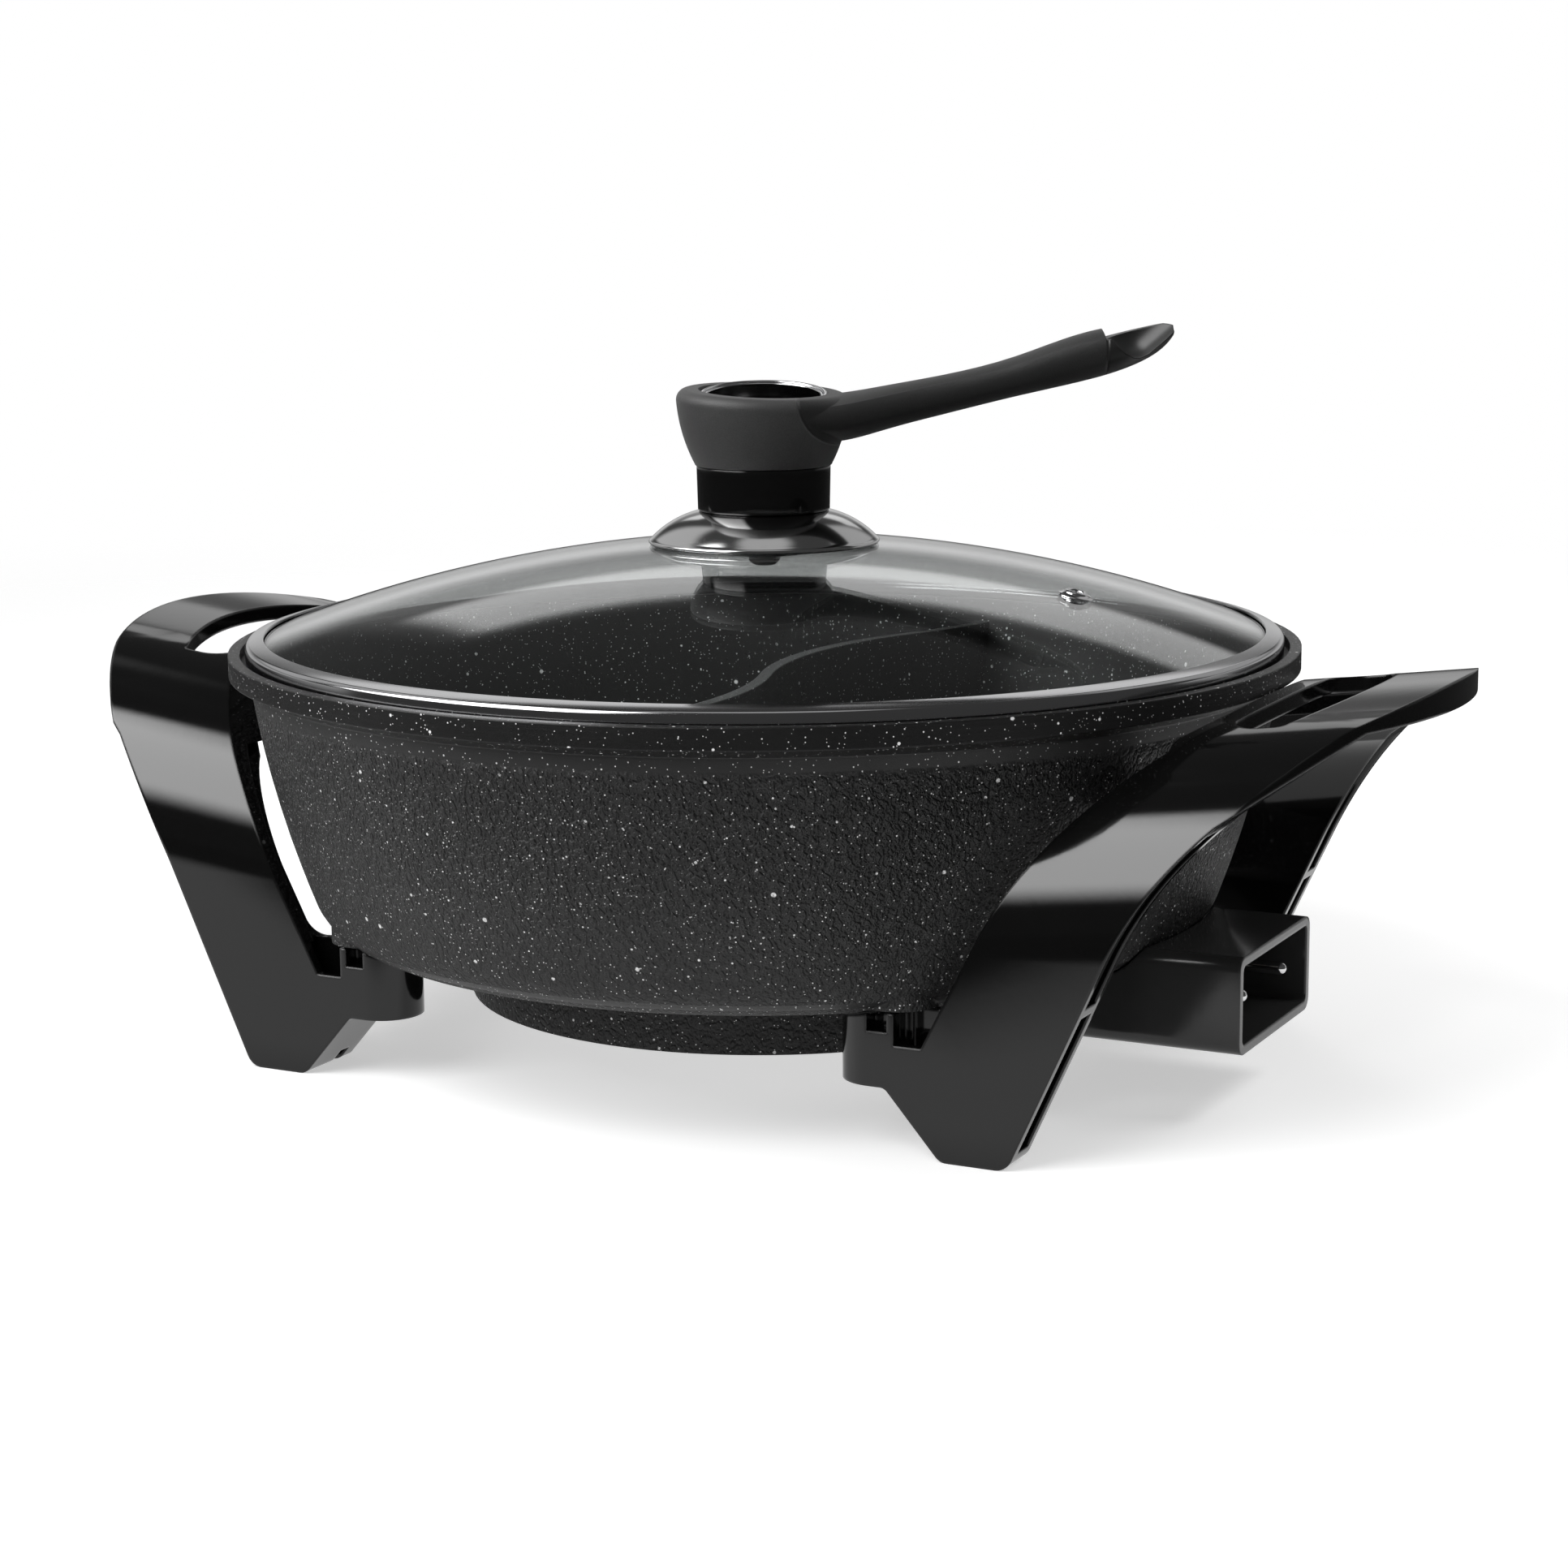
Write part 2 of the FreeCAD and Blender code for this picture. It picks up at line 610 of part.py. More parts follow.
def pan_envelope(label, gap):
    """A full solid that fills the pan's outline and the space above it."""
    top = D.rim_top + 60
    corners = pan_outside(gap)
    corners[-1] = (D.rim_radius + gap, top)
    return turned_piece(label, corners + [(0, top), (0, D.drum_bottom - gap)])


def divider():
    """Wavy wall that splits the pan in two, as a prism between the floor and its top edge."""
    half = D.divider_half_wave / 2
    thick = D.divider_thick / 2
    ends = leg_of(D.neck_radius - D.wall, 0) + D.wall / 2
    bend = (half * half + D.divider_sway * D.divider_sway) / (2 * D.divider_sway)
    wave = [-ends, -D.divider_half_wave, 0, D.divider_half_wave, ends]
    body = new_body("divider_wall")
    sketch = new_sketch(body, "XY_Plane", "divider_outline", D.floor_height - D.wall)
    corners = []
    corners.append((thick - D.divider_sway * 0.8, wave[0]))
    corners.append((thick, wave[1], bend, 1))
    corners.append((thick, wave[2], bend - thick, -1))
    corners.append((thick, wave[3], bend + thick, 1))
    corners.append((thick + D.divider_sway * 0.8, wave[4], bend, -1))
    corners.append((-thick + D.divider_sway * 0.8, wave[4]))
    corners.append((-thick, wave[3], bend, 1))
    corners.append((-thick, wave[2], bend - thick, -1))
    corners.append((-thick, wave[1], bend + thick, 1))
    corners.append((-thick - D.divider_sway * 0.8, wave[0], bend, -1))
    draw_outline(sketch, corners)
    padded(body, "divider_pad", sketch, D.divider_height - D.floor_height + D.wall)
    return body


def four_corners():
    """The signs of X and Y at the four brackets."""
    return [(1, 1), (-1, 1), (-1, -1), (1, -1)]


def pan_casting():
    """Pan, rim, divider, drum and lugs: one aluminium casting with its holes."""
    shell = turned_piece("pan_shell", pan_outside(size(0)) + pan_inside() + drum_inside())
    envelope = pan_envelope("pan_solid", size(0))
    wall = shared("divider_fitted", divider(), envelope)
    lug_height = D.knuckle_height + D.wall - D.lug_bottom
    hollow = turned_piece("pan_hollow", [
        (0, D.floor_height - 1), (D.floor_radius, D.floor_height - 1),
        (D.knuckle_radius - D.wall * 0.9, D.knuckle_height + D.wall * 1.5, D.inner_bend, -1),
        (D.knuckle_radius - D.wall * 0.9, D.rim_top), (0, D.rim_top)])
    lugs = []
    for number, (side, end) in enumerate(four_corners(), start=1):
        lugs.append(cylinder("lug_%d" % number, D.lug_radius, lug_height, side * D.lug_x, end * D.lug_y,
                             D.lug_bottom))
    lug_set = less("lugs_fitted", group("lugs_raw", lugs), [hollow])
    pillars = []
    for number in range(3):
        turn = math.radians(60 + 120 * number)
        pillars.append(cylinder("pillar_%d" % (number + 1), D.pillar_radius,
                                D.drum_ceiling - D.cover_bottom - D.cover_thick + 1,
                                D.pillar_circle * math.cos(turn), D.pillar_circle * math.sin(turn),
                                D.cover_bottom + D.cover_thick))
    solid = joined("pan_joined", [shell, wall, lug_set] + pillars)
    return less("pan_casting", solid, [group("pan_holes", pan_holes())])


def pan_holes():
    """Tapped holes, the element's groove and the ways through the drum's wall."""
    holes = []
    deep = D.handle_tap_depth + D.belly_height - D.drum_top
    for number, (side, end) in enumerate(four_corners(), start=1):
        holes.append(cylinder("handle_tap_%d" % number, D.screw_radius + D.slide_gap, deep,
                              side * D.seat_x, end * D.lug_y, handle_screw_top() - deep))
    deep = D.post_tap_depth + 4
    for number, end in enumerate((1, -1), start=1):
        holes.append(cylinder("post_tap_%d" % number, D.small_screw + D.slide_gap, deep,
                              D.post_x, end * D.post_y, post_screw_top() - deep))
        holes.append(cylinder_along_x("tail_way_%d" % number, D.element_tube + 3 * D.slide_gap,
                                      D.drum_radius - D.element_radius + 30, D.element_radius - 12,
                                      end * D.pin_half, D.element_height))
    for number in range(3):
        turn = math.radians(60 + 120 * number)
        holes.append(cylinder("pillar_tap_%d" % (number + 1), D.small_screw + D.slide_gap,
                              D.cover_tap_depth, D.pillar_circle * math.cos(turn),
                              D.pillar_circle * math.sin(turn), D.cover_bottom))
    holes.append(cylinder_along_x("guide_way", D.guide_radius + D.slide_gap, D.drum_wall + 4,
                                  D.drum_radius - D.drum_wall - 2, 0, D.guide_height))
    room = D.pin_half + D.element_turn
    turn_in = D.element_radius - D.element_turn
    turn_out = leg_of(D.element_radius + D.element_turn, room)
    holes.append(block("element_turn_room", turn_in, -room, D.element_height - 1, turn_out - turn_in,
                       2 * room, D.element_tube + 3 * D.slide_gap + 1))
    groove = DOC.addObject("Part::Torus", "element_groove")
    bind(groove, "Radius1", D.element_radius)
    bind(groove, "Radius2", D.element_tube + 3 * D.slide_gap)
    holes.append(place(groove, 0, 0, D.element_height))
    return holes


def handle_screw_top():
    """Height that a handle screw reaches inside the casting."""
    return D.drum_top + (D.belly_height - D.drum_top) * 0.86 + D.handle_tap_depth


def post_screw_top():
    """Height that a housing screw reaches inside the casting."""
    return D.drum_top + (D.belly_height - D.drum_top) * 0.4 + D.post_tap_depth


# ---------------------------------------------------------------------------------------------------
# Handle-and-leg mouldings
# ---------------------------------------------------------------------------------------------------

def arch_outside(drop):
    """The moulding's outer face seen along X, from one foot over the plate to the other."""
    low = size(-60)
    return [
        (D.side_y, low),
        (D.side_y, D.haunch_height),
        (D.shoulder_y, D.shoulder_height - drop, D.haunch_bend, -1),
        (D.crown_half, D.crown_edge - drop, D.shoulder_bend, -1),
        (-D.crown_half, D.crown_edge - drop, D.crown_bend, -1),
        (-D.shoulder_y, D.shoulder_height - drop, D.shoulder_bend, -1),
        (-D.side_y, D.haunch_height, D.haunch_bend, -1),
        (-D.side_y, low),
    ]


def arch_inside(thick, plate):
    """The moulding's inner face, from the second foot back to the first."""
    low = size(-60)
    side = D.side_y - thick
    turn = D.shoulder_y - thick * 0.35
    turn_height = D.shoulder_height - thick
    flat = D.crown_half - thick * 0.3
    flat_height = D.crown_edge + 0.6 - plate
    return [
        (-side, low),
        (-side, D.haunch_height),
        (-turn, turn_height, D.haunch_bend - thick, 1),
        (-flat, flat_height, D.shoulder_bend - thick, 1),
        (flat, flat_height, D.crown_bend - plate, 1),
        (turn, turn_height, D.shoulder_bend - thick, 1),
        (side, D.haunch_height, D.haunch_bend - thick, 1),
        (side, low),
    ]


def arch_prism(label, corners):
    """Run an arch outline outwards along the slope of the handle plate."""
    start = D.plate_x - 130
    body = new_body(label)
    sketch = new_sketch(body, "YZ_Plane", label + "_outline")
    draw_outline(sketch, corners)
    pad = padded(body, label + "_pad", sketch, D.moulding_reach - start + D.cut_over)
    pad.UseCustomVector = True
    pad.Direction = FreeCAD.Vector(1, 0, 0)
    bind(pad, "Direction.z", D.plate_slope)
    pad.AlongSketchNormal = True
    bind(sketch, "AttachmentOffset.Base.z", start)
    bind(sketch, "AttachmentOffset.Base.y", D.plate_slope * (start - D.plate_x))
    return body


def leg_outline(shift):
    """A leg, foot and bracket seen along Y, with the inner edge moved outwards by shift."""
    low_x = D.foot_out + D.leg_lean * D.leg_bend_low
    slant = hypot(D.leg_lean, size(1))
    toe_bend = D.foot_round / (slant - D.leg_lean)
    fillet_end = D.inner_low_x + (D.inner_mid_x - D.inner_low_x) * 0.42
    far = D.leg_bend_x + 70
    under = (D.seat_x + shift, D.bracket_bottom)
    notch = (D.bracket_chamfer_x + shift, D.bracket_bottom)
    heel = (D.foot_in + shift, size(0))
    toe = (D.foot_out - D.foot_round, size(0))
    return [
        toe,
        (D.foot_out + D.foot_round * D.leg_lean / slant, D.foot_round / slant, toe_bend, -1),
        (low_x, D.leg_bend_low),
        (D.leg_bend_x, D.leg_bend_high, D.leg_bend, 1),
        (D.leg_bend_x + D.bend_run, D.leg_bend_high + 22),
        (far, D.leg_bend_high + 24),
        (far, D.arch_crown + 40),
        (D.inner_top_x + shift, D.arch_crown + 40),
        (D.inner_top_x + shift, D.inner_top_height),
        (D.inner_mid_x + shift, D.inner_mid_height, D.inner_sweep, -1),
        (fillet_end + shift, D.pocket_floor + (D.inner_mid_height - D.pocket_floor) * 0.42),
        (D.bracket_reach + 3 + shift, D.lug_bottom - D.pan_gap, size(9), 1),
        (D.seat_x + shift, D.lug_bottom - D.pan_gap),
        under,
    ] + soft_corner(under, notch, heel, D.chamfer_corner, 1) + \
        soft_corner(notch, heel, toe, D.sole_corner, -1)


def bracket(label):
    """Thick finger under a lug, with a round inner end."""
    half = D.bracket_thick / 2
    near = -D.side_y
    corners = [
        (D.seat_x, near, half, -1),
        (D.bracket_reach, near),
        (D.bracket_reach, near + D.bracket_thick),
        (D.seat_x, near + D.bracket_thick),
        (D.seat_x - half, near + half, half, -1),
    ]
    height = D.lug_bottom - D.pan_gap - D.bracket_bottom
    return prism(label, "XY", corners, D.bracket_bottom, height)


def heel(label):
    """Thick inner part of a foot, with a notch in its sole behind the outer wall."""
    near = -D.side_y
    notch = (D.bracket_chamfer_x, D.bracket_bottom)
    sole = (D.foot_in, size(0))
    top = D.pocket_floor
    corners = soft_corner(notch, sole, (D.heel_out, size(0)), D.sole_corner, -1) + [
        (D.heel_out, 0),
        (D.heel_out, top),
        (D.bracket_reach, top),
        (D.bracket_reach, D.bracket_bottom),
        notch,
    ]
    solid = prism(label + "_block", "XZ", corners, near, D.bracket_thick)
    gap = block(label + "_notch", D.bracket_reach, near + D.heel_notch_near, -1,
                D.heel_out - D.bracket_reach + 1, D.heel_notch_wide, D.heel_notch_deep + 1)
    return less(label, solid, [gap])


def hand_slot():
    """Cutter for the long hand slot in the handle plate."""
    inner_x = leg_of(D.slot_inner, D.slot_half)
    reach = D.slot_end - 2.8
    outer_x = D.slot_reach - D.slot_sweep + leg_of(D.slot_sweep, reach)
    corners = [
        (inner_x, -D.slot_half, size(9.4), 1),
        (inner_x, D.slot_half, D.slot_inner, -1),
        (inner_x + 9.5, D.slot_end, size(9.4), 1),
        (outer_x - 3, D.slot_end),
        (outer_x, reach, size(3.1), 1),
        (outer_x, -reach, D.slot_sweep, 1),
        (outer_x - 3, -D.slot_end, size(3.1), 1),
        (inner_x + 9.5, -D.slot_end),
    ]
    return prism("hand_slot", "XY", corners, D.haunch_height, 90)


def plate_recess():
    """Cutter that hollows the handle plate from below, inside its hanging edge."""
    half = D.crown_half
    drop = D.plate_skin
    corners = [
        (half, D.crown_edge - D.plate_thick - 12),
        (half, D.crown_edge - drop),
        (-half, D.crown_edge - drop, D.crown_bend, -1),
        (-half, D.crown_edge - D.plate_thick - 12),
    ]
    inside = cylinder("recess_edge", D.sweep_radius - D.plate_lip, 120, D.sweep_centre, 0, 40)
    return shared("plate_recess", arch_prism("recess_arch", corners), inside)


def leg_channel():
    """Cutter for the channel that opens on a leg's outward edge, less the web across it."""
    band = arch_prism("channel_band", arch_outside(size(0)) + arch_inside(D.leg_thick, D.plate_thick))
    wide = shared("channel_wide", band, prism("channel_outline", "XZ", leg_outline(D.channel_floor),
                                              -D.side_y - 5, 2 * D.side_y + 10))
    outer_cut = arch_prism("channel_outer_skin", inset_arch(D.skin))
    inner_keep = arch_prism("channel_inner_skin", inset_arch(D.leg_thick - D.skin))
    middle = less("channel_middle", shared("channel_within", wide, outer_cut), [inner_keep])
    near = -D.side_y - D.cut_over
    span = 2 * (D.side_y + D.cut_over)
    reach = D.moulding_reach + D.cut_over
    limits = block("channel_limits", 0, near, D.channel_low, reach, span, D.channel_high - D.channel_low)
    web = block("channel_web", 0, near, D.web_height, reach, span, D.web_thick)
    return less("leg_channel", shared("channel_length", middle, limits), [web])


def leg_relief():
    """Cutter that thins a leg's edge beside the pan from behind."""
    near = -D.side_y - 5
    wide = 2 * D.side_y + 10
    whole = prism("relief_whole", "XZ", leg_outline(size(0)), near, wide)
    kept = prism("relief_kept", "XZ", leg_outline(D.relief_reach), near, wide)
    limits = block("relief_limits", D.bracket_reach, near, D.relief_low, D.moulding_reach, wide,
                   D.relief_high - D.relief_low)
    behind = arch_prism("relief_arch", inset_arch(D.relief_skin))
    edge = shared("relief_edge", less("relief_strip", whole, [kept]), limits)
    return shared("leg_relief", edge, behind)


def inset_arch(inset):
    """The full arch, moved inwards by inset all round."""
    low = size(-70)
    side = D.side_y - inset
    turn = D.shoulder_y - inset * 0.42
    flat = D.crown_half - inset * 0.3
    return [
        (side, low),
        (side, D.haunch_height),
        (turn, D.shoulder_height - inset * 0.9, D.haunch_bend - inset, -1),
        (flat, D.crown_edge - inset, D.shoulder_bend - inset, -1),
        (-flat, D.crown_edge - inset, D.crown_bend - inset, -1),
        (-turn, D.shoulder_height - inset * 0.9, D.shoulder_bend - inset, -1),
        (-side, D.haunch_height, D.haunch_bend - inset, -1),
        (-side, low),
    ]


def bracket_cuts():
    """Pockets, notches and screw holes of the two brackets of one moulding."""
    cuts = []
    top = D.lug_bottom
    pocket = [
        (D.pocket_in, D.pocket_floor),
        (D.inner_low_x, D.pocket_floor),
        (D.inner_low_x + D.leg_lean * 22, D.pocket_floor + 20),
        (D.pocket_in, D.pocket_floor + 20),
    ]
    for number, end in enumerate((-1, 1), start=1):
        start = -D.side_y - 1 if end < 0 else D.side_y - D.pocket_deep
        cuts.append(prism("pocket_%d" % number, "XZ", pocket, start, D.pocket_deep + 1))
        start = -D.side_y - 1 if end < 0 else D.side_y - D.notch_deep
        cuts.append(block("notch_%d" % number, D.notch_in, start, D.notch_floor, D.notch_out - D.notch_in,
                          D.notch_deep + 1, top - D.notch_floor))
        cuts.append(cylinder("screw_way_%d" % number, D.screw_radius + 3 * D.slide_gap, 60, D.seat_x,
                             end * D.lug_y, 0))
        cuts.append(cylinder("head_way_%d" % number, D.counterbore, D.seat_height, D.seat_x,
                             end * D.lug_y, 0))
    return cuts


def right_handle_leg():
    """The +X moulding: arch, legs, feet and brackets in one piece."""
    band = arch_prism("arch_band", arch_outside(size(0)) + arch_inside(D.leg_thick, D.plate_thick))
    side_view = prism("side_outline", "XZ", leg_outline(size(0)), -D.side_y - 5, 2 * D.side_y + 10)
    top_view = cylinder("top_outline", D.sweep_radius, 3 * D.arch_crown, D.sweep_centre, 0, -D.cut_over)
    arch = shared("arch_trimmed", shared("arch_side", band, side_view), top_view)
    near = bracket("bracket_near")
    far = mirrored("bracket_far", near, False)
    heel_near = heel("heel_near")
    heel_far = mirrored("heel_far", heel_near, False)
    plain = joined("moulding_plain", [arch, near, far, heel_near, heel_far])
    rim_way = D.rim_radius + 3 * D.pan_gap
    clear_rim = block("plate_inner_slab", 0, -D.crown_half + 3, D.haunch_height + 20, D.inner_top_x + 20,
                      2 * D.crown_half - 6, 100)
    clear_round = cylinder("plate_inner_round", rim_way, 200, 0, 0, 0)
    clear = shared("plate_inner", clear_rim, clear_round)
    envelope = pan_envelope("moulding_clearance", D.pan_gap)
    bores = group("bracket_cuts", bracket_cuts())
    tools = [envelope, clear, hand_slot(), plate_recess(), leg_channel(), leg_relief(), bores]
    return less("right_handle_leg", plain, tools)


def left_handle_leg(right):
    """The -X moulding, the mirror image of the +X one."""
    return mirrored("left_handle_leg", right, True)


# ---------------------------------------------------------------------------------------------------
# Connector housing, terminals and sensor guide
# ---------------------------------------------------------------------------------------------------

def rounded_section(half, low, high, bend):
    """A rectangle in Y and Z with round corners."""
    return [
        (half - bend, low),
        (half, low + bend, bend, -1),
        (half, high - bend),
        (half - bend, high, bend, -1),
        (-half + bend, high),
        (-half, high - bend, bend, -1),
        (-half, low + bend),
        (-half + bend, low, bend, -1),
    ]


def connector_housing():
    """Box under the pan that shrouds the terminal pins, with a socket open towards +X."""
    back = D.drum_radius + D.pan_gap
    section = rounded_section(D.housing_half, D.housing_bottom, D.housing_top, D.housing_round)
    outer = prism("housing_outer", "YZ", section, back - 6, D.housing_front - back + 6)
    inner_bend = D.housing_round - D.housing_wall * 0.7
    inner = rounded_section(D.housing_half - D.housing_wall, D.housing_bottom + D.housing_wall,
                            D.housing_top - D.housing_wall, inner_bend)
    socket = prism("socket_cut", "YZ", inner, D.socket_back, D.housing_front - D.socket_back + 5)
    chamber_end = D.socket_back - D.socket_wall
    chamber = prism("chamber_cut", "YZ", inner, back - 8, chamber_end - back + 8)
    posts = [cylinder("post_%d" % number, D.post_radius, D.housing_top - D.housing_bottom, D.post_x,
                      end * D.post_y, D.housing_bottom)
             for number, end in enumerate((1, -1), start=1)]
    shell = less("housing_shell", outer, [socket, chamber])
    solid = joined("housing_joined", [shell] + posts)
    cuts = []
    for number, end in enumerate((1, -1), start=1):
        cuts.append(cylinder("post_way_%d" % number, D.small_screw + 2 * D.slide_gap, 60, D.post_x,
                             end * D.post_y, 0))
        cuts.append(cylinder("post_head_way_%d" % number, D.small_head + 0.5, post_seat(), D.post_x,
                             end * D.post_y, 0))
        cuts.append(cylinder_along_x("bush_way_%d" % number, D.bush_radius + D.slide_gap,
                                     D.socket_wall + 2, chamber_end - 1, end * D.pin_half, D.pin_height))
    cuts.append(cylinder_along_x("guide_hole", D.guide_radius + D.slide_gap, D.socket_wall + 2,
                                 chamber_end - 1, 0, D.guide_height))
    envelope = pan_envelope("housing_clearance", D.pan_gap)
    return less("connector_housing", solid, [envelope, group("housing_holes", cuts)])


def post_seat():
    """Height of the seat inside a housing post that its screw clamps."""
    return D.housing_bottom + D.small_head_height + 1.6


def terminal_pin(label, end):
    """Round contact rod: straight out of the element's tail, up through the bush and out to its tip."""
    low = D.element_height
    high = D.pin_height
    run = high - low
    start = D.element_end - 6
    rise = D.element_end + 6
    level = rise + run * 1.6
    path_body = new_body(label + "_shank")
    path = new_sketch(path_body, "XZ_Plane", label + "_path", -end * D.pin_half)
    draw_path(path, [(start, low), (rise, low), (level, high), (pin_shoulder(), high)])
    section = new_sketch(path_body, "YZ_Plane", label + "_section", start)
    draw_circle(section, end * D.pin_half, low, D.shank_radius)
    pipe = path_body.newObject("PartDesign::AdditivePipe", label + "_pipe")
    pipe.Profile = section
    pipe.Spine = path
    pipe.Transition = 2
    tip = DOC.addObject("Part::Sphere", label + "_tip")
    bind(tip, "Radius", D.pin_radius)
    place(tip, D.pin_tip - D.pin_radius, end * D.pin_half, high)
    free = cylinder_along_x(label + "_free", D.pin_radius, D.pin_tip - D.pin_radius - pin_shoulder() + 1,
                            pin_shoulder() - 1, end * D.pin_half, high)
    return joined(label, [path_body, free, tip])


def pin_shoulder():
    """Where a terminal pin gets thinner, just in front of its bush."""
    return D.socket_back + 2.4


def draw_path(sketch, corners):
    """Draw an open run of straight lines."""
    corners = [(size(x), size(y)) for x, y in corners]
    first = sketch.GeometryCount
    for start, stop in zip(corners[:-1], corners[1:]):
        sketch.addGeometry(Part.LineSegment(FreeCAD.Vector(start[0].value, start[1].value, 0),
                                            FreeCAD.Vector(stop[0].value, stop[1].value, 0)), False)
    for index in range(len(corners) - 2):
        constrain(sketch, "Coincident", None, first + index, 2, first + index + 1, 1)
    for index in range(len(corners) - 1):
        pin_point(sketch, first + index, 1, corners[index])
    pin_point(sketch, first + len(corners) - 2, 2, corners[-1])


def terminal_bush(label, end):
    """Ceramic bush that holds a terminal pin in the socket's back wall."""
    back = D.socket_back - D.socket_wall
    flange = cylinder_along_x(label + "_flange", D.bush_flange, 3, back - 3,
                              end * D.pin_half, D.pin_height)
    sleeve = cylinder_along_x(label + "_sleeve", D.bush_radius, D.socket_wall + 5, back - 3,
                              end * D.pin_half, D.pin_height)
    bore = cylinder_along_x(label + "_bore", D.shank_radius + D.slide_gap, 20, back - 8, end * D.pin_half,
                            D.pin_height)
    return less(label, joined(label + "_body", [flange, sleeve]), [bore])


def sensor_guide_tube():
    """Steel tube that leads the thermostat's probe under the pan."""
    start = D.drum_radius - D.drum_wall
    long = D.guide_front - start
    tube = cylinder_along_x("guide_tube_outer", D.guide_radius, long, start, 0, D.guide_height)
    bore = cylinder_along_x("guide_tube_bore", D.guide_bore, long + 10, start - 5, 0, D.guide_height)
    return less("sensor_guide_tube", tube, [bore])


def earth_spring():
    """Leaf under the socket's top wall that earths the pan through the plug."""
    top = D.housing_top - D.housing_wall
    back = D.socket_back
    half = D.earth_width / 2
    foot = 9.0
    corners = [
        (back, top),
        (back, top - foot),
        (back + D.earth_thick, top - foot),
        (back + D.earth_thick, top - D.earth_thick),
        (D.earth_front - 8, top - D.earth_thick),
        (D.earth_front - 5, top - 2.2),
        (D.earth_front - 2, top - D.earth_thick),
        (D.earth_front, top - D.earth_thick),
        (D.earth_front, top),
        (D.earth_front - 1.6, top),
        (D.earth_front - 5, top - 1.2),
        (D.earth_front - 8.4, top),
    ]
    return prism("earth_spring", "XZ", corners, -half, D.earth_width)


# ---------------------------------------------------------------------------------------------------
# Heating element, heat shield and fasteners
# ---------------------------------------------------------------------------------------------------

def heating_element():
    """Sheathed ring with two tails that leave the drum towards +X."""
    ring = D.element_radius
    gap_y = D.pin_half + D.element_turn
    joint_x = leg_of(ring + D.element_turn, gap_y)
    reach = ring / (ring + D.element_turn)
    touch_x = joint_x * reach
    touch_y = gap_y * reach
    body = new_body("element_sheath")
    path = new_sketch(body, "XY_Plane", "element_path", D.element_height)
    points = [
        (D.element_end, D.pin_half),
        (joint_x, D.pin_half),
        (touch_x, touch_y, D.element_turn, -1),
        (touch_x, -touch_y, ring, -1),
        (joint_x, -D.pin_half, D.element_turn, -1),
        (D.element_end, -D.pin_half),
    ]
    draw_element(path, points)
    section = new_sketch(body, "YZ_Plane", "element_section", D.element_end)
    draw_circle(section, D.pin_half, D.element_height, D.element_tube)
    pipe = body.newObject("PartDesign::AdditivePipe", "element_pipe")
    pipe.Profile = section
    pipe.Spine = path
    sockets = [cylinder_along_x("tail_socket_%d" % number, D.shank_radius + D.slide_gap, 20,
                                D.element_end - 6.5, end * D.pin_half, D.element_height)
               for number, end in enumerate((1, -1), start=1)]
    return less("heating_element", body, [group("tail_sockets", sockets)])


def draw_element(sketch, points):
    """Draw tail, turn, ring, turn and tail as one open path."""
    vectors = [FreeCAD.Vector(size(point[0]).value, size(point[1]).value, 0) for point in points]
    turn = size(points[2][2])
    ring = size(points[3][2])
    left = FreeCAD.Vector(-1, 0, 0) * ring.value
    bend_one = arc_between(vectors[1], vectors[2], turn.value, 1)
    bend_two = arc_between(vectors[3], vectors[4], turn.value, 1)
    sketch.addGeometry(Part.LineSegment(vectors[0], vectors[1]), False)
    sketch.addGeometry(bend_one, False)
    sketch.addGeometry(Part.Arc(vectors[2], left, vectors[3]), False)
    sketch.addGeometry(bend_two, False)
    sketch.addGeometry(Part.LineSegment(vectors[4], vectors[5]), False)
    ends = [(1, 2), (2, 1), (1, 2), (2, 1), (1, 2)]
    for index in range(4):
        constrain(sketch, "Coincident", None, index, ends[index][1], index + 1, ends[index + 1][0])
    for index in range(5):
        pin_point(sketch, index, ends[index][0], (size(points[index][0]), size(points[index][1])))
    pin_point(sketch, 4, 2, (size(points[5][0]), size(points[5][1])))
    constrain(sketch, "Radius", turn, 1)
    constrain(sketch, "Radius", ring, 2)
    constrain(sketch, "Radius", turn, 3)


def heat_shield():
    """Steel disc that closes the drum from below."""
    top = D.cover_bottom + D.cover_thick
    disc = turned_piece("shield_disc", [
        (0, D.cover_bottom), (D.cover_radius, D.cover_bottom), (D.cover_radius, top), (0, top)])
    holes = []
    for number in range(3):
        turn = math.radians(60 + 120 * number)
        holes.append(cylinder("shield_hole_%d" % (number + 1), D.small_screw + 2 * D.slide_gap, 10,
                              D.pillar_circle * math.cos(turn), D.pillar_circle * math.sin(turn),
                              D.cover_bottom - 4))
    return less("heat_shield", disc, [group("shield_holes", holes)])


def screw(label, shank, head, head_height, x, y, seat, top):
    """A pan-head screw driven upwards: its head is under seat and its shank ends at top."""
    body = new_body(label)
    corners = [
        (0, seat - head_height),
        (head * 0.55, seat - head_height),
        (head, seat - head_height * 0.45, head * 0.75, -1),
        (head, seat),
        (shank, seat),
        (shank, top - shank * 0.5),
        (shank * 0.5, top),
        (0, top),
    ]
    turned(body, label + "_turned", corners)
    return place(body, x, y, 0)


def handle_screws():
    """Four screws that hold the two mouldings to the pan's lugs."""
    seat = D.seat_height - D.washer_thick
    return group("handle_screws", [
        screw("handle_screw_%d" % number, D.screw_radius, D.screw_head, D.head_height, side * D.seat_x,
              end * D.lug_y, seat, handle_screw_top() - 0.3)
        for number, (side, end) in enumerate(four_corners(), start=1)])


